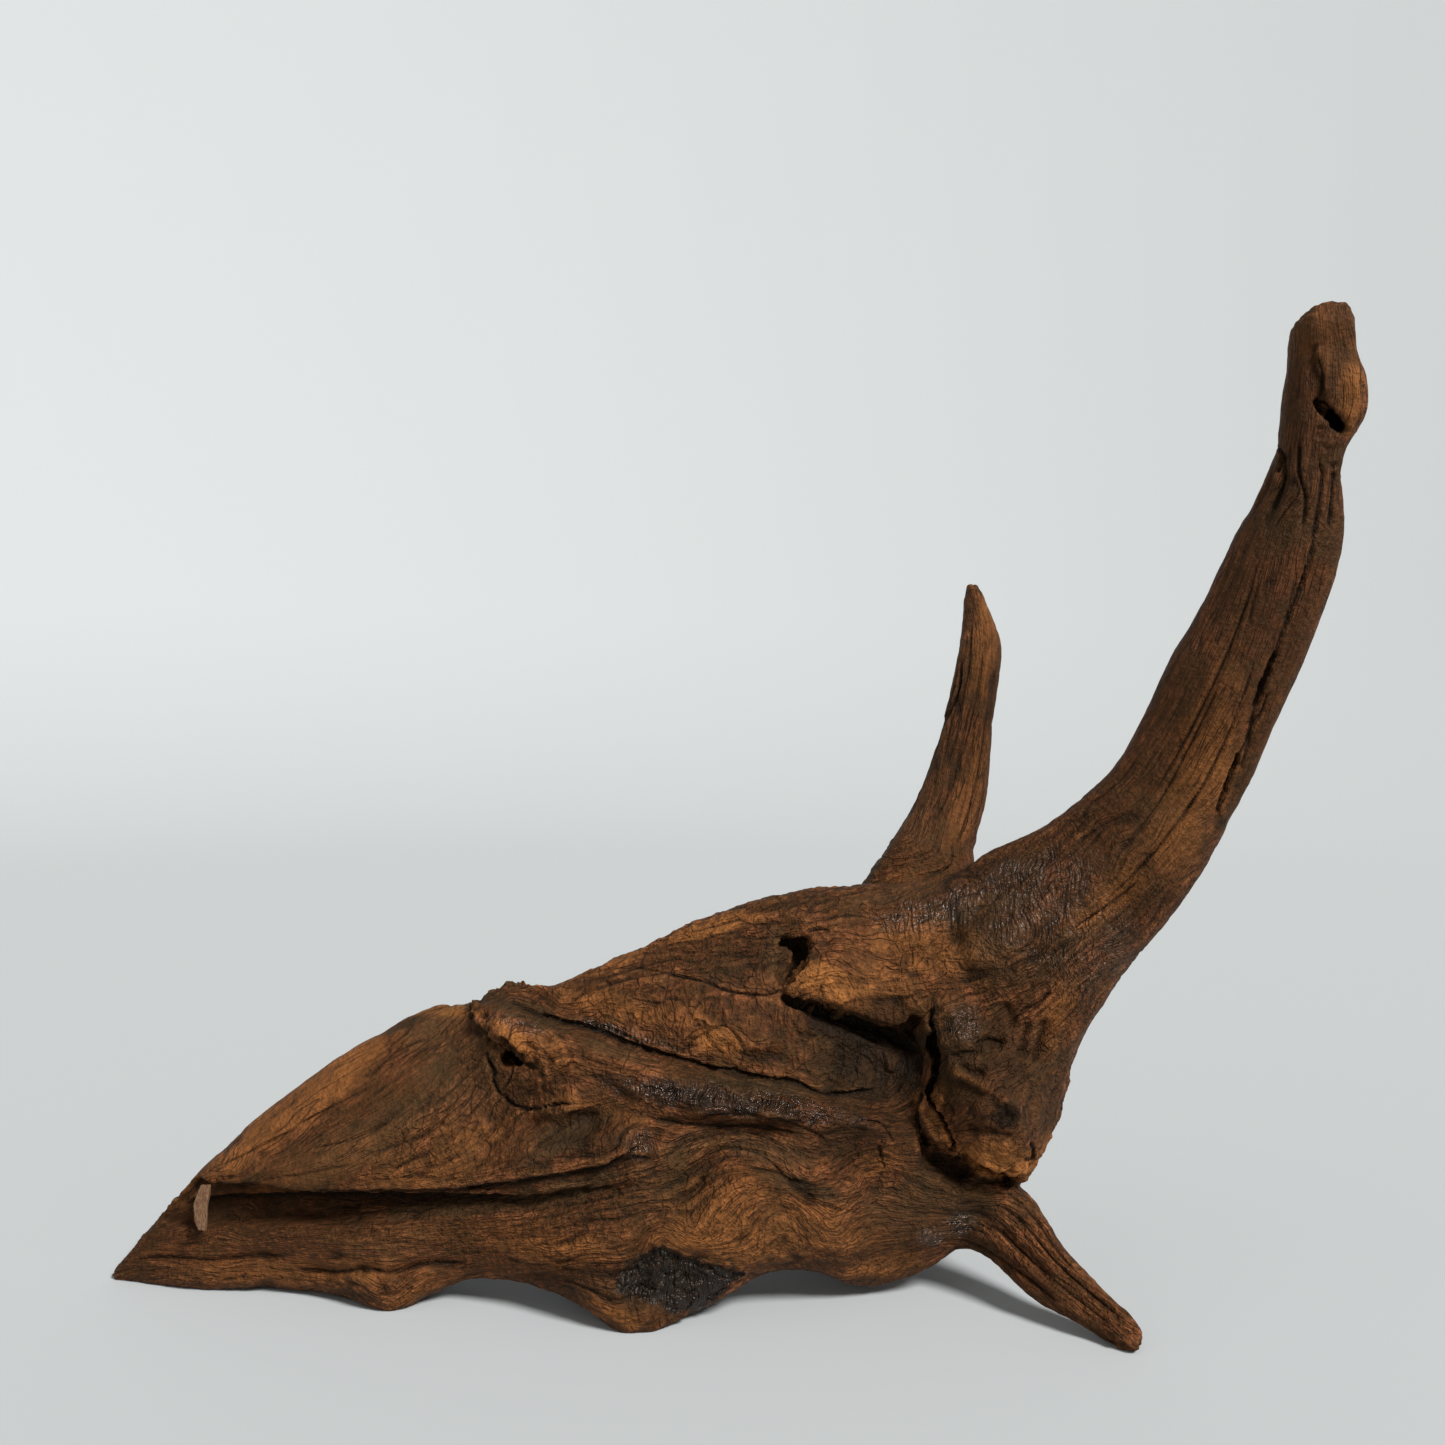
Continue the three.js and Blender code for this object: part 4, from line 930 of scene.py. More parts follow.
def branch_frame(place, line_mm):
    """Distance from a branch's middle line, and place in its frame: across, through and along."""
    line = rounded(line_mm, step=4.0)
    distance, _, share = nearest_on_line(place, line)
    lengths = np.concatenate(((0,), np.cumsum(np.linalg.norm(np.diff(line, axis=0), axis=1))))
    along = share * lengths[-1]
    middle = np.column_stack([np.interp(along, lengths, line[:, axis]) for axis in range(3)])
    ahead = line[-1] - line[0]
    across = np.cross((0.0, 1.0, 0.0), ahead)
    across /= np.linalg.norm(across)
    through = np.cross(ahead / np.linalg.norm(ahead), across)
    apart = place - middle
    return distance, apart @ across, apart @ through, along


def grain_of(wood):
    """Millimetres across, through and along the grain at each vertex, so that fibres follow the wood."""
    places = []
    values = []
    for value, line_px in GRAIN_LINES_PX:
        line = rounded(line_px, step=46.0)
        places.extend(line)
        values.extend([value] * len(line))
    across = spline_field(places, values)(wood.px)
    along = spline_field(*zip(*GRAIN_REACH_PX))(wood.px)
    for place, radius, turn in KNOTS_PX:
        apart = ((wood.px - np.array(place)) ** 2).sum(-1)
        across += turn * np.exp(-apart / (2 * radius ** 2)) * smoothstep(wood.place[:, 1], 30, 0)
    through = wood.place[:, 1] - np.interp(wood.place[:, 2], *MIDDLE_MM)
    grain = np.column_stack((across, through, along))
    for line_mm, around, lengthways in OWN_GRAIN_MM:
        distance, *branch_place = branch_frame(wood.place, line_mm)
        own = smoothstep(distance, *around) * smoothstep(branch_place[-1], *lengthways)
        own_grain = np.column_stack(branch_place)
        between = own * (1 - own)
        own_grain += (between @ (grain - own_grain)) / between.sum()
        grain += (own_grain - grain) * own[:, None]
    return grain


def curled(wood):
    """How far the fibres stray to and fro where the wood is curly, in millimetres each way."""
    spot = wood.place @ OBLIQUE
    waves = np.column_stack([noise(spot, CURL_REACH_MM, 40 + axis) for axis in range(3)])
    return wood.curl[:, None] * waves * CURL_MM


# Making the wood

def joined_nodes():
    """A mesh of the four packed branches with the gaps at their forks closed."""
    joined = bmesh.new()
    for node in WOOD_NODES:
        branch = bmesh.new()
        branch.from_mesh(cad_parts[node].data)
        bmesh.ops.remove_doubles(branch, verts=branch.verts, dist=0.01 * MM)
        if node in FORKS_MM:
            inwards = Vector(FORKS_MM[node][1]) * -FORK_CLOSING_MM * MM
            bmesh.ops.translate(branch, verts=branch.verts, vec=inwards)
        copy = bpy.data.meshes.new(node + "_rough")
        branch.to_mesh(copy)
        branch.free()
        joined.from_mesh(copy)
        bpy.data.meshes.remove(copy)
    for reach, corners in FILLS_PX:
        add_fill(joined, reach, corners)
    mesh = bpy.data.meshes.new("carved_wood")
    joined.to_mesh(mesh)
    joined.free()
    return mesh


def add_fill(joined, reach, corners):
    """Adds a block of wood behind a face that is drawn on the photo, along the lines of sight."""
    right, down, ahead = photo_axes()
    eye = np.array(PHOTO_EYE_MM)
    middle = PHOTO_SIDE_PX / 2
    rings = []
    for further in (0.0, reach):
        ring = []
        for x, y, depth in corners:
            ray = ahead + right * (x - middle) / PHOTO_FOCAL_PX + down * (y - middle) / PHOTO_FOCAL_PX
            ring.append(joined.verts.new((eye + ray * (depth + further - eye[1]) / ray[1]) * MM))
        rings.append(ring)
    front, back = rings
    faces = [joined.faces.new(front), joined.faces.new(back[::-1])]
    for a, b, c, d in zip(front, front[1:] + front[:1], back[1:] + back[:1], back):
        faces.append(joined.faces.new((b, a, d, c)))
    bmesh.ops.recalc_face_normals(joined, faces=faces)


def through_modifiers(mesh, steps):
    """The mesh after a stack of modifiers, each given as its type and settings."""
    worker = bpy.data.objects.new("worker", mesh)
    bpy.context.scene.collection.objects.link(worker)
    for kind, settings in steps:
        modifier = worker.modifiers.new(kind.lower(), kind)
        for name, value in settings.items():
            setattr(modifier, name, value)
    shaped = worker.evaluated_get(bpy.context.evaluated_depsgraph_get())
    result = bpy.data.meshes.new_from_object(shaped)
    bpy.data.objects.remove(worker)
    bpy.data.meshes.remove(mesh)
    return result


def soften_facets(wood, rounds):
    """Smooths flat facets away without shrinking the wood, and less at lips, cracks and tips."""
    crisp = np.zeros(len(wood.place))
    for line_px, reach in CRISP_LINES_PX:
        at, distance, _, _ = wood.near_line(line_px, reach * 2, wood.seen)
        crisp[at] = np.maximum(crisp[at], np.exp(-(distance / reach) ** 2))
    for tip, reach in TIPS_MM:
        apart = np.linalg.norm(wood.place - np.array(tip), axis=1)
        crisp = np.maximum(crisp, 0.7 * smoothstep(apart, reach, reach * 0.4))
    give = (1 - 0.8 * crisp)[:, None]
    for _ in range(rounds):
        wood.place += SMOOTH_IN * give * (wood.neighbours_mean(wood.place) - wood.place)
        wood.place -= SMOOTH_OUT * give * (wood.neighbours_mean(wood.place) - wood.place)
    blunt = np.zeros(len(wood.place))
    for line_px in BLUNT_LINES_PX:
        at, distance, _, _ = wood.near_line(line_px, BLUNT_REACH_MM, wood.seen)
        blunt[at] = np.maximum(blunt[at], smoothstep(distance, BLUNT_REACH_MM, BLUNT_REACH_MM / 2))
    for _ in range(rounds):
        wood.place += blunt[:, None] * (wood.neighbours_mean(wood.place) - wood.place)
    wood.write()


def rough_wood(carving):
    """The joined branches rebuilt on an even grid, with their flat facets smoothed away."""
    coarse = 1
    mesh = through_modifiers(joined_nodes(), (
        ("REMESH", {"mode": "VOXEL", "voxel_size": carving.grid * coarse, "use_smooth_shade": True}),
    ))
    wood = Wood(mesh)
    soften_facets(wood, carving.soften // coarse)
    wood.settle()
    # How deep each vertex lies in a recess, kept for the painted shade that darkens the recesses
    deep = smoothstep(wood.sunk(DEEP_ROUNDS // coarse ** 2), 0.8, 4.0)
    store(mesh, "deep", [deep] * 3)
    return through_modifiers(mesh, (("SUBSURF", {"levels": 2 - coarse, "render_levels": 2 - coarse}),))


def carve_forms(wood):
    """The larger forms: lips that overhang, plates that overlap, folds and hollows."""
    for lip in LIPS_PX:
        turn_lip(wood, *lip)
    for line_px, width, height in FORMS_PX:
        raise_ridge(wood, line_px, width, height)
    wood.settle()


def carve_edges(wood):
    """Cracks and small lips, crisp and narrow."""
    for line_px, width, depth in CRACKS_PX:
        cut_groove(wood, line_px, width, depth, wood.seen)
    for line_px, width, depth in REAR_CRACKS_PX:
        cut_groove(wood, line_px, width, depth, wood.seen_rear)
    cut_groove(wood, LENS_PX, 0.5, 0.8, wood.seen, closed=True)
    for outline_px, depth, edge in SUNK_PX:
        sink_patch(wood, outline_px, depth, edge)
    wood.settle()


def creased(values):
    """Noise folded where it passes through its middle: rounded ribs with sharp valleys between them."""
    return np.minimum(np.abs(values) * 3.2, 1.0) - 0.6


def carve_fibres(wood, carving, grain):
    """Swells, ribs and drying cracks that run with the grain, all over the wood."""
    fine = 1.0
    calm = 1 - 0.6 * wood.calm
    straight = 1 - 0.7 * wood.curl
    spot = wood.place @ OBLIQUE
    dried = smoothstep(noise(wood.place, DRY_PATCH_MM, 14) + wood.grey * 0.4, 0.0, 0.5)

    # Curly folds and small bumps, then swells and ribs where the fibres run straight, then cracks
    folds = creased(noise(grain, FOLD_MM, 26)) + 0.6 * creased(noise(grain, SMALL_FOLD_MM, 27))
    folds += 0.5 * creased(noise(spot, TANGLE_MM, 32))
    wood.push((FOLD_DEPTH_MM[0] + FOLD_DEPTH_MM[1] * wood.curl) * folds * calm)
    bumps = noise(spot, BUMPS_MM[0], 28) + 0.6 * noise(spot, BUMPS_MM[1], 29)
    wood.push((BUMP_DEPTH_MM[0] + BUMP_DEPTH_MM[1] * wood.curl) * bumps * calm * fine)
    swell = noise(grain, SWELL_MM, 10) + 0.5 * noise(grain, SMALL_SWELL_MM, 11)
    wood.push(carving.lump_depth / MM * swell * calm * straight)
    ribs = creased(noise(grain, RIB_MM, 12)) + 0.7 * creased(noise(grain, SMALL_RIB_MM, 13))
    rough = ROUGH_DEPTH_MM * noise(spot, ROUGH_MM, 16)
    wood.push(carving.fibre_depth / MM * ribs * calm * straight * fine + rough * calm * fine)
    crack = np.exp(-(noise(grain, CHECK_MM, 15) / 0.13) ** 2) * dried
    wood.push(-carving.check_depth / MM * crack * fine)

    # Charred wood breaks up into small blocks, and broken edges crumble
    gaps = 1 - np.minimum(np.abs(noise(spot, CHAR_BLOCK_MM, 25)) * 6.0, 1.0)
    wood.push(-CHAR_BLOCK_DEPTH_MM * gaps * wood.char * fine)
    crumbs = noise(spot, CRUMBS_MM[0], 17) + 0.6 * noise(spot, CRUMBS_MM[1], 18)
    crumbs += 0.9 * noise(spot, CRUMBS_MM[2], 19)
    for line_px, reach, depth in CRUMBLING_PX:
        at, distance, _, _ = wood.near_line(line_px, reach, wood.rim)
        wood.push_at(at, depth * fine * crumbs[at] * smoothstep(distance, reach, 0) * wood.rim[at])
    # Painted shade in the drying cracks
    wood.hollow = np.maximum(wood.hollow, crack * 0.6)
    wood.settle()


def paint_tones(wood):
    """Amber, grey, charred, glossy and curly patches where the photo shows them, and some all round."""
    seen = np.maximum(wood.seen, wood.seen_rear)
    ragged = 0.30 * noise(wood.place, RAGGED_MM[0], 20) + 0.22 * noise(wood.place, RAGGED_MM[1], 21)
    # The dabs paint darker patches, some of them painted shade, and the darkest painted shade under the
    # flap, in cracks and in holes
    for tone, dabs in TONES_PX.items():
        amount = getattr(wood, tone)
        shown = {"calm": 1.0, "curl": seen * wood.facing}.get(tone, seen)
        for place, half, turn, strength in dabs:
            apart = wood.px - np.array(place)
            c, s = math.cos(math.radians(turn)), math.sin(math.radians(turn))
            along = (apart[:, 0] * c + apart[:, 1] * s) / half[0]
            across = (apart[:, 1] * c - apart[:, 0] * s) / half[1]
            reach = np.sqrt(along ** 2 + across ** 2) + ragged
            np.maximum(amount, strength * smoothstep(reach, 1.35, 0.55) * shown, out=amount)
    for tone, size, number, start, end, strength in BACK_PATCHES:
        patches = smoothstep(noise(wood.place, size, number) + ragged, start, end)
        setattr(wood, tone, getattr(wood, tone) + strength * (1 - seen) * patches)
    at, distance, inside = wood.inside_line(CHAR_PX)
    within = np.where(inside > 0, distance, -distance) + 5.0 * ragged[at]
    charred = smoothstep(within, -0.6, 1.4) * wood.seen[at]
    wood.char[at] = np.maximum(wood.char[at], charred)
    wood.gloss[at] = np.maximum(wood.gloss[at], 0.5 * charred)


def keep_inside(wood):
    """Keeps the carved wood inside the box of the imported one, and on the floor."""
    low, high = (np.array(corner) / MM for corner in CAD_BOX)
    wood.place = np.clip(wood.place, low + BOX_GAP_MM, high - BOX_GAP_MM)
    wood.write()


def carved_wood(carving):
    """The whole piece carved and toned, thinned to its triangles. It is made once and kept."""
    kept = bpy.data.meshes.get("carved_wood_done")
    if kept:
        return kept
    mesh = rough_wood(carving)
    wood = Wood(mesh)
    deep = recall(mesh, "deep")
    carve_forms(wood)
    carve_edges(wood)
    paint_tones(wood)
    grain = grain_of(wood) + curled(wood)
    carve_fibres(wood, carving, grain)
    keep_inside(wood)
    # Painted shade in small creases and painted light on ridges, and painted shade deep in the recesses
    # added to the darker patches
    wood.wear = np.clip(wood.sunk(CREASE_ROUNDS) / 0.5, -1, 1)
    wood.shade = np.maximum(wood.shade, 0.75 * deep)
    store(mesh, "grain", grain.T)
    for label, names in KEPT.items():
        store(mesh, label, [getattr(wood, name) for name in names])
    triangles = sum(len(face.vertices) - 2 for face in mesh.polygons)
    if triangles > carving.triangles:
        mesh = through_modifiers(mesh, (("DECIMATE", {"ratio": carving.triangles / triangles}),))
        keep_inside(Wood(mesh))
    mesh.name = "carved_wood_done"
    mesh.use_fake_user = True
    return mesh


def store(mesh, name, values):
    """Keeps three values at each vertex, for the materials."""
    layer = mesh.attributes.new(name, "FLOAT_VECTOR", "POINT")
    layer.data.foreach_set("vector", np.column_stack(values).astype(np.float32).ravel())


def recall(mesh, name):
    """The first of the three values kept at each vertex, which are then dropped."""
    flat = np.empty(len(mesh.vertices) * 3, np.float32)
    mesh.attributes[name].data.foreach_get("vector", flat)
    mesh.attributes.remove(mesh.attributes[name])
    return flat.reshape(-1, 3)[:, 0].astype(float)


# Parting the wood at its forks

def part_at(whole, fork):
    """Cuts the wood across at a fork and closes both ends, each with a face of its own."""
    place, way_out, reach = fork
    centre = Vector(place) * MM
    near = [face for face in whole.faces if (face.calc_center_median() - centre).length < reach * MM]
    edges = {edge for face in near for edge in face.edges}
    verts = {vert for face in near for vert in face.verts}
    cut = bmesh.ops.bisect_plane(whole, geom=[*verts, *edges, *near], dist=0.001 * MM,
                                 plane_co=centre, plane_no=Vector(way_out).normalized())
    rim = [item for item in cut["geom_cut"] if isinstance(item, bmesh.types.BMEdge)]
    bmesh.ops.split_edges(whole, edges=rim)
    open_edges = [edge for edge in whole.edges if edge.is_boundary]
    if not open_edges:
        raise RuntimeError("the cut at a fork found no wood")
    caps = bmesh.ops.holes_fill(whole, edges=open_edges, sides=0)["faces"]
    if any(edge.is_boundary for edge in whole.edges):
        raise RuntimeError("a cut at a fork was left open")
    for cap in caps:
        cap.smooth = False
        for edge in cap.edges:
            edge.smooth = False
    bmesh.ops.triangulate(whole, faces=caps)


def parted_wood(carving):
    """The four branches as meshes, by the names of their nodes. They are made once and kept."""
    names = {node: "branch_" + node for node in WOOD_NODES}
    if all(name in bpy.data.meshes for name in names.values()):
        return {node: bpy.data.meshes[name] for node, name in names.items()}
    whole = bmesh.new()
    whole.from_mesh(carved_wood(carving))
    for fork in FORKS_MM.values():
        part_at(whole, fork)
    mesh = bpy.data.meshes.new("parted")
    whole.to_mesh(mesh)
    whole.free()
    label = islands(mesh)
    seeds = {"stump": HEART_MM, **FORKS_MM}
    branches = {node: branch_mesh(mesh, label, names[node], seed) for node, seed in seeds.items()}
    if sum(len(branch.vertices) for branch in branches.values()) > len(mesh.vertices):
        raise RuntimeError("a cut at a fork left two branches joined")
    bpy.data.meshes.remove(mesh)
    return branches


def islands(mesh):
    """A number for each vertex, the same for all that hang together."""
    edges = np.empty(len(mesh.edges) * 2, np.int32)
    mesh.edges.foreach_get("vertices", edges)
    first, second = edges.reshape(-1, 2).T
    label = np.arange(len(mesh.vertices))
    while True:
        lowest = np.minimum(label[first], label[second])
        new = label.copy()
        np.minimum.at(new, first, lowest)
        np.minimum.at(new, second, lowest)
        new = new[new]
        if (new == label).all():
            return label
        label = new


def branch_mesh(mesh, label, name, seed):
    """The island of the parted wood that lies just past a fork, as a mesh of its own."""
    place, way_out, _ = seed
    way_out = np.array(way_out) / np.linalg.norm(way_out)
    inside = np.array(place) + way_out * INTO_BRANCH_MM
    flat = np.empty(len(mesh.vertices) * 3, np.float32)
    mesh.vertices.foreach_get("co", flat)
    spots = flat.reshape(-1, 3) / MM
    past = (spots - np.array(place)) @ way_out > PAST_CUT_MM
    apart = np.where(past, np.linalg.norm(spots - inside, axis=1), np.inf)
    keep = label == label[np.argmin(apart)]
    branch = bmesh.new()
    branch.from_mesh(mesh)
    bmesh.ops.delete(branch, geom=[v for v, kept in zip(branch.verts, keep) if not kept], context="VERTS")
    result = bpy.data.meshes.new(name)
    branch.to_mesh(result)
    branch.free()
    return result


def place_piece(name, mesh, material, node):
    """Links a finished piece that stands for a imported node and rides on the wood's one body."""
    mesh.materials.clear()
    mesh.materials.append(material)
    piece = bpy.data.objects.new(name, mesh)
    bpy.context.scene.collection.objects.link(piece)
    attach(piece, BODY)
    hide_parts(node)


# Finishes

MATH = "ShaderNodeMath"
VECTOR = "ShaderNodeVectorMath"
NOISE = "ShaderNodeTexNoise"
MIX = "ShaderNodeMix"

# Patterns that follow the grain: size across, through and along it (mm), detail and roughness
GRAIN_PATTERNS = {
    "short_fibre": ((1.0, 3.0, 5.0), 2.0, 0.6), "long_fibre": ((0.9, 3.0, 18.0), 3.0, 0.6),
    "streak": ((2.0, 7.0, 26.0), 4.0, 0.65), "layer": ((6.0, 24.0, 60.0), 2.0, 0.5),
    "rib_noise": ((2.2, 8.0, 26.0), 2.0, 0.6), "fine_noise": ((0.8, 3.0, 11.0), 1.0, 0.6),
    "check_noise": ((2.0, 8.0, 22.0), 1.0, 0.6), "ripple_noise": ((6.0, 6.0, 2.2), 1.0, 0.6),
}
# Patterns in space: size (m), detail and roughness
SPACE_PATTERNS = {
    "patch": ((18.0 * MM,) * 3, 3.0, 0.6), "blush": ((6.0 * MM,) * 3, 4.0, 0.7),
    "fleck": ((1.9 * MM,) * 3, 2.0, 0.65),
}
# Rounded ribs with valleys between them: the pattern that is folded, and how sharply
FOLDED = {
    "ribs": ("rib_noise", 9.0), "fine_ribs": ("fine_noise", 8.0), "unchecked": ("check_noise", 24.0),
    "ripple": ("ripple_noise", 5.0),
}
CRACKLE_MM = (3.2, 6.0, 5.0)     # the cells of the crackle, as the patterns that follow the grain

# How much each pattern lightens the wood, from dark between the fibres to light on them; the share for
# creases is negative, painting shade into creases and light onto ridges
LIGHT_SHARES = {
    "fibre": 0.95, "fleck": 0.75, "streak": 0.45, "patch": 0.90, "blush": 0.90, "layer": 0.25, "ribs": 0.12,
    "fine_ribs": 0.12, "wear": -0.22,
}
LIGHT_START = -2.26      # brings the sum to about 0 on middling wood
LIGHT_MIDDLE = 0.45
# The tints that the brown drifts between
GREENER = (0.93, 1.01, 0.93, 1)
REDDER = (1.11, 0.96, 0.88, 1)
# Rubbed amber, dried silt, darker patches that are partly painted shade, charred patches, dark checks and
# crackle, painted shade in creases, and the darkest painted shade in cracks, under lips and in holes, which
# break up along the fibres: the amount, the pattern that breaks it up, how much that counts, from what
# start, the strength and the colour
OVERLAYS = (
    ("amber", "light", 1.1, 0.15, 1.0, "amber"), ("grey", "blush", 2.4, -0.5, 0.75, "silt_grey"),
    ("shade", "patch", 1.2, 0.4, 0.72, "gap_and_shade_brown"), ("char", "fleck", 1.8, 0.0, 1.0, "char"),
    ("check", "blush", 0.0, 1.0, 0.7, "char"), ("crackle", "fleck", 2.0, -0.2, 0.6, "char"),
    ("wear", "fibre", 0.0, 1.0, 0.5, "gap_and_shade_brown"), ("hollow", "fleck", 0.8, 0.55, 0.92, "char"),
)
# How far each pattern stands out, in millimetres
RELIEF_SHARES = {
    "fibre": 0.4, "threads": 0.7, "streak": 0.35, "ribs": 0.25, "fine_ribs": 0.15, "grit": 1.5,
    "check": -0.5, "crackle": -0.5, "ripples": 1.2,
}
# How dry wood shines: weakly, and in the colour that its own brown gives the light
WOOD_IOR = 1.5
WOOD_SPECULAR = 0.16
WOOD_SHINE = (1.0, 0.76, 0.58, 1.0)


def add_node(tree, kind, inputs=(), **settings):
    """Adds a shader node with its settings. Each input takes a value, or the socket that feeds it."""
    node = tree.nodes.new(kind)
    for name, value in settings.items():
        setattr(node, name, value)
    for socket, value in dict(inputs).items():
        if isinstance(value, bpy.types.NodeSocket):
            tree.links.new(value, node.inputs[socket])
        else:
            node.inputs[socket].default_value = value
    return node


def empty_material(name):
    """A new material whose node tree has no nodes yet."""
    material = bpy.data.materials.new(name)
    material.use_nodes = True
    material.node_tree.nodes.clear()
    return material


def weathered_wood(name, finish):
    """Weathered ironwood driftwood, washed and dried in the open: a hard, dense brown wood whose soft
    layers have rotted out between the hard ones. To the eye it is a ribbed, fibrous brown, with painted
    shade in its cracks and creases and painted light on its ridges, rubbed to amber on its edges, grey
    where silt has dried in it, with a low waxy gloss."""
    material = empty_material(name)
    tree = material.node_tree
    look = {}
    for label, names in KEPT.items():
        values = add_node(tree, "ShaderNodeAttribute", attribute_name=label).outputs["Vector"]
        look.update(zip(names, add_node(tree, "ShaderNodeSeparateXYZ", {0: values}).outputs))
    add_patterns(tree, look)
    # Light and relief swing less far where the wood is smooth
    look["swing"] = add_node(tree, MATH, {0: look["calm"], 1: -0.3, 2: 1.0},
                             operation="MULTIPLY_ADD").outputs[0]
    colour = wood_colour(tree, look, finish)
    bump = wood_relief(tree, look)
    rough = add_node(tree, MATH, {0: look["fibre"], 1: 0.25, 2: 0.56}, operation="MULTIPLY_ADD").outputs[0]
    rough = add_node(tree, MATH, {0: look["gloss"], 1: -0.45, 2: rough},
                     operation="MULTIPLY_ADD").outputs[0]
    # Worn places have a thin waxy polish over the dull wood
    polish = add_node(tree, MATH, {0: look["gloss"], 1: 0.6}, operation="MULTIPLY").outputs[0]
    shader = add_node(tree, "ShaderNodeBsdfPrincipled", {
        "Base Color": colour, "Roughness": rough, "Normal": bump, "IOR": WOOD_IOR,
        "Specular IOR Level": WOOD_SPECULAR, "Specular Tint": WOOD_SHINE,
        "Coat Weight": polish, "Coat Roughness": 0.22, "Coat Normal": bump}).outputs[0]
    add_node(tree, "ShaderNodeOutputMaterial", {"Surface": shader})
    return material


def add_patterns(tree, look):
    """Adds fibres, ribs, checks, patches and flecks to what is known of the wood at each place."""
    spot = add_node(tree, "ShaderNodeTexCoord").outputs["Object"]
    grain = add_node(tree, "ShaderNodeAttribute", attribute_name="grain").outputs["Vector"]

    # Fibres wander a little, and by a millimetre or two where the wood is curly
    wander = add_node(tree, NOISE, {
        "Vector": spot, "Scale": 1 / (6.0 * MM), "Detail": 2.0}).outputs["Color"]
    centred = add_node(tree, VECTOR, {0: wander, 1: (0.5, 0.5, 0.5)}, operation="SUBTRACT").outputs[0]
    reach = add_node(tree, MATH, {0: look["curl"], 1: 1.4, 2: 0.6}, operation="MULTIPLY_ADD").outputs[0]
    stray = add_node(tree, VECTOR, {0: centred, "Scale": reach}, operation="SCALE").outputs[0]
    bent = add_node(tree, VECTOR, {0: stray, 1: grain}, operation="ADD").outputs[0]

    for source, patterns in ((bent, GRAIN_PATTERNS), (spot, SPACE_PATTERNS)):
        for label, (size, detail, roughness) in patterns.items():
            scaled = add_node(tree, VECTOR, {0: source, 1: size}, operation="DIVIDE").outputs[0]
            look[label] = add_node(tree, NOISE, {
                "Vector": scaled, "Scale": 1.0, "Detail": detail, "Roughness": roughness}).outputs["Fac"]
    look["fibre"] = add_node(tree, MIX, {0: look["calm"], 2: look["short_fibre"], 3: look["long_fibre"]},
                             data_type="FLOAT").outputs[0]
    for label, (source, sharpness) in FOLDED.items():
        centred = add_node(tree, MATH, {0: look[source], 1: 0.5}, operation="SUBTRACT").outputs[0]
        folded = add_node(tree, MATH, {0: centred}, operation="ABSOLUTE").outputs[0]
        look[label] = add_node(tree, MATH, {0: folded, 1: sharpness}, operation="MULTIPLY",
                               use_clamp=True).outputs[0]

    # Fine drying checks, in the patches that have dried most
    dried = add_node(tree, MATH, {0: look["patch"], 1: 6.0, 2: -2.6}, operation="MULTIPLY_ADD",
                     use_clamp=True).outputs[0]
    checked = add_node(tree, MATH, {0: 1.0, 1: look["unchecked"]}, operation="SUBTRACT").outputs[0]
    look["check"] = add_node(tree, MATH, {0: checked, 1: dried}, operation="MULTIPLY").outputs[0]

    # Small cells of crackle, in patches where the wood isn't smooth
    cells = add_node(tree, VECTOR, {0: bent, 1: CRACKLE_MM}, operation="DIVIDE").outputs[0]
    gap = add_node(tree, "ShaderNodeTexVoronoi", {"Vector": cells, "Scale": 1.0},
                   feature="DISTANCE_TO_EDGE").outputs["Distance"]
    line = add_node(tree, MATH, {0: gap, 1: -10.0, 2: 1.0}, operation="MULTIPLY_ADD",
                    use_clamp=True).outputs[0]
    where = add_node(tree, MATH, {0: look["blush"], 1: 5.0, 2: -2.0}, operation="MULTIPLY_ADD",
                     use_clamp=True).outputs[0]
    where = add_node(tree, MATH, {0: where, 1: look["calm"]}, operation="SUBTRACT",
                     use_clamp=True).outputs[0]
    look["crackle"] = add_node(tree, MATH, {0: line, 1: where}, operation="MULTIPLY").outputs[0]


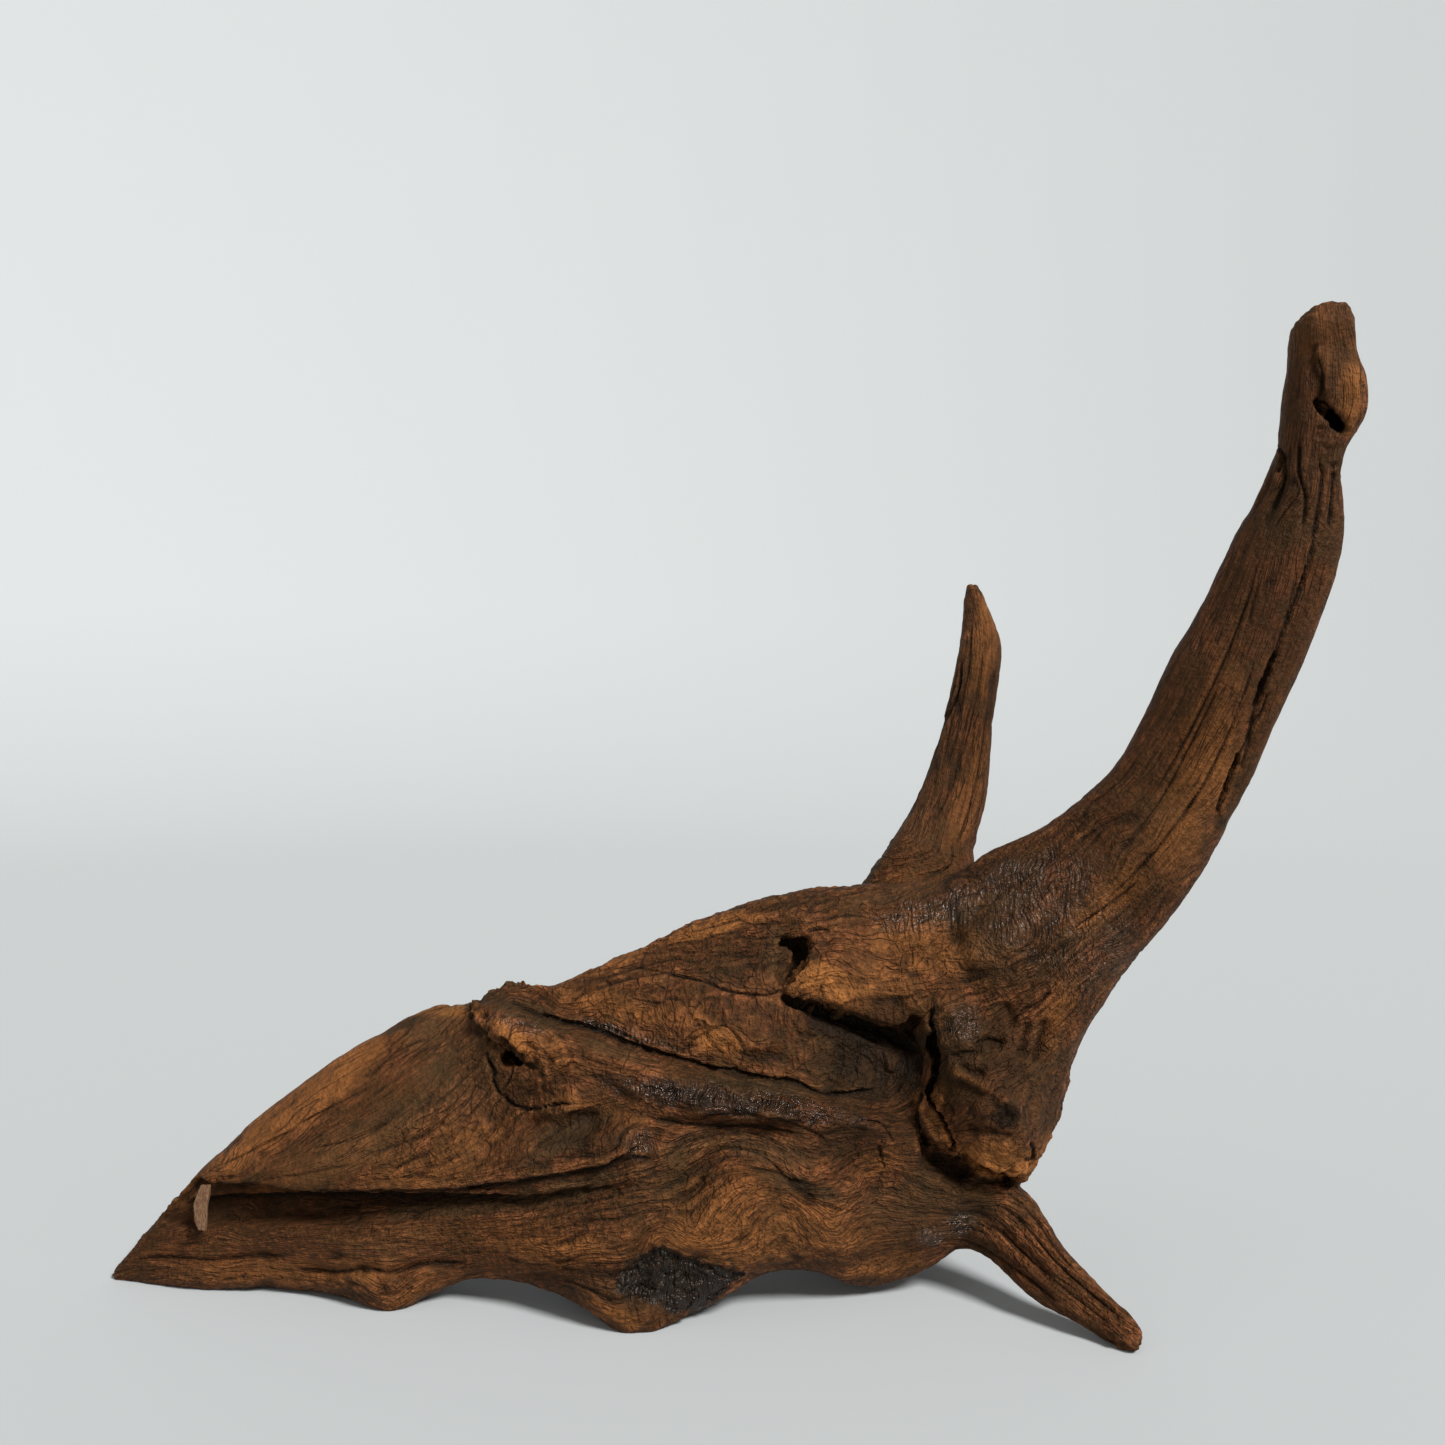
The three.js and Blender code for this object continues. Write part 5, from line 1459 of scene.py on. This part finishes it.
def wood_colour(tree, look, finish):
    """The wood's colour: dark between the fibres and light on them, with painted shade in its creases and
    painted light on its ridges, and the other tones laid over.
    """
    light = LIGHT_START
    for label, share in LIGHT_SHARES.items():
        light = add_node(tree, MATH, {0: look[label], 1: share, 2: light},
                         operation="MULTIPLY_ADD").outputs[0]
    light = add_node(tree, MATH, {0: light, 1: look["swing"], 2: LIGHT_MIDDLE},
                     operation="MULTIPLY_ADD").outputs[0]
    look["light"] = light
    middling = add_node(tree, MATH, {0: light, 1: 2.0}, operation="MULTIPLY", use_clamp=True).outputs[0]
    lightest = add_node(tree, MATH, {0: light, 1: 2.0, 2: -1.0}, operation="MULTIPLY_ADD",
                        use_clamp=True).outputs[0]
    colour = (*finish.gap_and_shade_brown, 1)
    for share, brown in ((middling, finish.heart_brown), (lightest, finish.fibre_brown)):
        colour = add_node(tree, MIX, {0: share, 6: colour, 7: (*brown, 1)}, data_type="RGBA").outputs[2]

    # A broad drift from greener to redder brown
    reddish = add_node(tree, MATH, {0: look["patch"], 1: 3.0, 2: -2.7}, operation="MULTIPLY_ADD").outputs[0]
    reddish = add_node(tree, MATH, {0: look["blush"], 1: 3.5, 2: reddish}, operation="MULTIPLY_ADD",
                       use_clamp=True).outputs[0]
    tint = add_node(tree, MIX, {0: reddish, 6: GREENER, 7: REDDER}, data_type="RGBA").outputs[2]
    colour = add_node(tree, MIX, {0: 1.0, 6: colour, 7: tint}, data_type="RGBA",
                      blend_type="MULTIPLY").outputs[2]

    for amount, source, gain, start, strength, tone in OVERLAYS:
        broken = add_node(tree, MATH, {0: look[source], 1: gain, 2: start}, operation="MULTIPLY_ADD",
                          use_clamp=True).outputs[0]
        share = add_node(tree, MATH, {0: look[amount], 1: broken}, operation="MULTIPLY",
                         use_clamp=True).outputs[0]
        share = add_node(tree, MATH, {0: share, 1: strength}, operation="MULTIPLY").outputs[0]
        over = (*getattr(finish, tone), 1)
        colour = add_node(tree, MIX, {0: share, 6: colour, 7: over}, data_type="RGBA").outputs[2]
    return colour


def wood_relief(tree, look):
    """Relief too fine for the mesh: fibres about half a millimetre wide, checks, and curly ripples."""
    curly = add_node(tree, MATH, {0: look["curl"], 1: 0.15, 2: look["gloss"]},
                     operation="MULTIPLY_ADD").outputs[0]
    dull = add_node(tree, MATH, {0: look["gloss"], 1: -0.55, 2: look["swing"]},
                    operation="MULTIPLY_ADD").outputs[0]
    worn = (("ripples", "ripple", curly), ("grit", "fleck", dull), ("threads", "fibre", dull))
    for label, source, amount in worn:
        look[label] = add_node(tree, MATH, {0: look[source], 1: amount}, operation="MULTIPLY").outputs[0]
    relief = 0.0
    for label, share in RELIEF_SHARES.items():
        relief = add_node(tree, MATH, {0: look[label], 1: share, 2: relief},
                          operation="MULTIPLY_ADD").outputs[0]
    return add_node(tree, "ShaderNodeBump", {"Height": relief, "Strength": 1.0, "Distance": MM}).outputs[0]


def split_chip(name, finish):
    """Freshly split sapwood: paler than the rest, dry and matt, with fine straight fibres, unworn."""
    material = empty_material(name)
    tree = material.node_tree
    spot = add_node(tree, "ShaderNodeTexCoord").outputs["Object"]
    scaled = add_node(tree, VECTOR, {0: spot, 1: (0.5 * MM, 0.5 * MM, 8.0 * MM)},
                      operation="DIVIDE").outputs[0]
    fibre = add_node(tree, NOISE, {
        "Vector": scaled, "Scale": 1.0, "Detail": 3.0, "Roughness": 0.6}).outputs["Fac"]
    light = add_node(tree, MATH, {0: fibre, 1: 3.0, 2: -1.0}, operation="MULTIPLY_ADD",
                     use_clamp=True).outputs[0]
    colour = add_node(tree, MIX, {0: light, 6: (*finish.heart_brown, 1), 7: (*finish.splinter, 1)},
                      data_type="RGBA").outputs[2]
    bump = add_node(tree, "ShaderNodeBump", {
        "Height": fibre, "Strength": 1.0, "Distance": 0.4 * MM}).outputs[0]
    shader = add_node(tree, "ShaderNodeBsdfPrincipled", {
        "Base Color": colour, "Normal": bump, "Roughness": 0.75, "IOR": WOOD_IOR,
        "Specular IOR Level": 0.25}).outputs[0]
    add_node(tree, "ShaderNodeOutputMaterial", {"Surface": shader})
    return material


def wood_finish(name):
    """A wood material by its name, made once."""
    finish = bpy.context.scene.driftwood_finish
    return bpy.data.materials.get(name) or weathered_wood(name, finish)


# Operators

class DRIFTWOOD_OT_stump(bpy.types.Operator):
    """Carves the root stump with its ledge, plate, flap, lobe and heel"""
    bl_idname = "driftwood.stump"
    bl_label = "Stump"

    def execute(self, context):
        branches = parted_wood(context.scene.driftwood_carving)
        place_piece("stump_wood", branches["stump"], wood_finish("root_ironwood"), "stump")
        return {"FINISHED"}


class DRIFTWOOD_OT_limbs(bpy.types.Operator):
    """Carves the tall curved limb and the short limb behind it"""
    bl_idname = "driftwood.limbs"
    bl_label = "Limbs"

    def execute(self, context):
        branches = parted_wood(context.scene.driftwood_carving)
        for node in ("tall_limb", "rear_limb"):
            place_piece(node + "_wood", branches[node], wood_finish("limb_ironwood"), node)
        return {"FINISHED"}


class DRIFTWOOD_OT_root(bpy.types.Operator):
    """Carves the thin ribbed root in front"""
    bl_idname = "driftwood.root"
    bl_label = "Front root"

    def execute(self, context):
        branches = parted_wood(context.scene.driftwood_carving)
        place_piece("front_root_wood", branches["front_root"], wood_finish("root_ironwood"),
                    "front_root")
        return {"FINISHED"}


class DRIFTWOOD_OT_splinter(bpy.types.Operator):
    """Splits the pale chip that leans under the ledge"""
    bl_idname = "driftwood.splinter"
    bl_label = "Splinter"

    def execute(self, context):
        chip = bmesh.new()
        chip.from_mesh(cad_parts["splinter"].data)
        bmesh.ops.remove_doubles(chip, verts=chip.verts, dist=0.01 * MM)
        bmesh.ops.recalc_face_normals(chip, faces=chip.faces)
        mesh = bpy.data.meshes.new("chip")
        chip.to_mesh(mesh)
        chip.free()
        mesh = through_modifiers(mesh, (
            ("REMESH", {"mode": "VOXEL", "voxel_size": CHIP_GRID_MM * MM, "use_smooth_shade": True}),
            ("SMOOTH", {"factor": 0.5, "iterations": 3}),
        ))
        wood = Wood(mesh)
        ribs = noise(wood.place, CHIP_RIB_MM, 30) + 0.5 * noise(wood.place, CHIP_ROUGH_MM, 31)
        wood.push(0.14 * ribs - 0.1)
        wood.write()
        material = split_chip("split_sapwood", context.scene.driftwood_finish)
        place_piece("splinter_chip", mesh, material, "splinter")
        return {"FINISHED"}


class DRIFTWOOD_OT_stage(bpy.types.Operator):
    """Sets out the pale floor, the soft lights and the camera at the photo's place"""
    bl_idname = "driftwood.stage"
    bl_label = "Floor, light and camera"

    def execute(self, context):
        stage = context.scene.driftwood_stage
        floor_under(stage)
        soft_light("key_light", KEY_FROM, KEY_WIDTH_DEG, stage.key_power)
        soft_light("fill_light", FILL_FROM, FILL_WIDTH_DEG, stage.fill_power)
        world = bpy.data.worlds.new("even_sky")
        world.use_nodes = True
        background = world.node_tree.nodes["Background"]
        background.inputs["Color"].default_value = linear(SKY_COLOUR)
        background.inputs["Strength"].default_value = stage.sky
        context.scene.world = world
        photo_camera()
        context.scene.view_settings.view_transform = "Standard"
        return {"FINISHED"}


def floor_under(stage):
    """A wide round floor whose rim curves up to a gentle slope out of sight, in one seamless sheet."""
    sheet = bmesh.new()
    flat = stage.floor_radius
    bend = flat * 2
    profile = [Vector((0, 0, 0)), Vector((flat, 0, 0))]
    for turn in range(1, RIM_STEPS + 1):
        angle = stage.rim_slope * turn / RIM_STEPS
        profile.append(Vector((flat + bend * math.sin(angle), 0, bend * (1 - math.cos(angle)))))
    profile.append(profile[-1] + Vector((math.cos(angle), 0, math.sin(angle))) * flat * RIM_REACH)
    points = [sheet.verts.new(point) for point in profile]
    edges = [sheet.edges.new(pair) for pair in zip(points, points[1:])]
    bmesh.ops.spin(sheet, geom=[*points, *edges], cent=(0, 0, 0), axis=(0, 0, 1), angle=math.tau,
                   steps=FLOOR_STEPS, use_merge=True)
    bmesh.ops.remove_doubles(sheet, verts=sheet.verts, dist=1e-5)
    bmesh.ops.recalc_face_normals(sheet, faces=sheet.faces)
    lowest = min(sheet.faces, key=lambda face: face.calc_center_median().length)
    if lowest.normal.z < 0:
        bmesh.ops.reverse_faces(sheet, faces=sheet.faces)
    for face in sheet.faces:
        face.smooth = True
    mesh = bpy.data.meshes.new("floor")
    sheet.to_mesh(mesh)
    sheet.free()
    floor = bpy.data.objects.new("floor", mesh)
    floor.visible_shadow = False
    bpy.context.scene.collection.objects.link(floor)
    material = bpy.data.materials.new("matt_floor")
    material.use_nodes = True
    shader = material.node_tree.nodes["Principled BSDF"]
    shader.inputs["Base Color"].default_value = (*stage.floor_colour, 1)
    shader.inputs["Roughness"].default_value = 0.85
    mesh.materials.append(material)


def soft_light(name, place, width, power):
    """A broad distant light: where it comes from, how wide it looks (degrees) and its power."""
    light = bpy.data.lights.new(name, "SUN")
    light.angle = math.radians(width)
    light.energy = power
    holder = bpy.data.objects.new(name, light)
    aim = -Vector(place)
    holder.matrix_world = Matrix.Translation(place) @ aim.to_track_quat("-Z", "Y").to_matrix().to_4x4()
    bpy.context.scene.collection.objects.link(holder)


def photo_camera():
    """The camera at the photo's viewpoint, with its field of view."""
    right, down, ahead = photo_axes()
    camera = bpy.data.cameras.new("photo_camera")
    camera.sensor_width = SENSOR_MM
    camera.lens = SENSOR_MM * PHOTO_FOCAL_PX / PHOTO_SIDE_PX
    camera.clip_start = 0.01
    holder = bpy.data.objects.new("photo_camera", camera)
    turn = Matrix((right, -down, -ahead)).transposed().to_4x4()
    holder.matrix_world = Matrix.Translation(Vector(PHOTO_EYE_MM) * MM) @ turn
    bpy.context.scene.collection.objects.link(holder)
    bpy.context.scene.camera = holder


class DRIFTWOOD_PT_panel(bpy.types.Panel):
    """Lists the pieces of the driftwood"""
    bl_idname = "DRIFTWOOD_PT_panel"
    bl_label = "Driftwood"
    bl_space_type = "VIEW_3D"
    bl_region_type = "UI"
    bl_category = "Driftwood"

    def draw(self, context):
        for operator in OPERATORS:
            self.layout.operator(operator.bl_idname)
        scene = context.scene
        for settings in (scene.driftwood_carving, scene.driftwood_finish, scene.driftwood_stage):
            box = self.layout.box()
            for name in settings.__annotations__:
                box.prop(settings, name)


SETTINGS = (DriftwoodCarving, DriftwoodFinish, DriftwoodStage)
OPERATORS = (
    DRIFTWOOD_OT_stump, DRIFTWOOD_OT_limbs, DRIFTWOOD_OT_root, DRIFTWOOD_OT_splinter, DRIFTWOOD_OT_stage,
)


def register():
    for part in (*SETTINGS, *OPERATORS, DRIFTWOOD_PT_panel):
        bpy.utils.register_class(part)
    bpy.types.Scene.driftwood_carving = PointerProperty(type=DriftwoodCarving)
    bpy.types.Scene.driftwood_finish = PointerProperty(type=DriftwoodFinish)
    bpy.types.Scene.driftwood_stage = PointerProperty(type=DriftwoodStage)


def unregister():
    del bpy.types.Scene.driftwood_stage
    del bpy.types.Scene.driftwood_finish
    del bpy.types.Scene.driftwood_carving
    for part in reversed((*SETTINGS, *OPERATORS, DRIFTWOOD_PT_panel)):
        bpy.utils.unregister_class(part)


def main():
    """Makes every piece and the stage."""
    register()
    bpy.ops.driftwood.stump()
    bpy.ops.driftwood.limbs()
    bpy.ops.driftwood.root()
    bpy.ops.driftwood.splinter()
    bpy.ops.driftwood.stage()


if __name__ == "__main__":
    main()
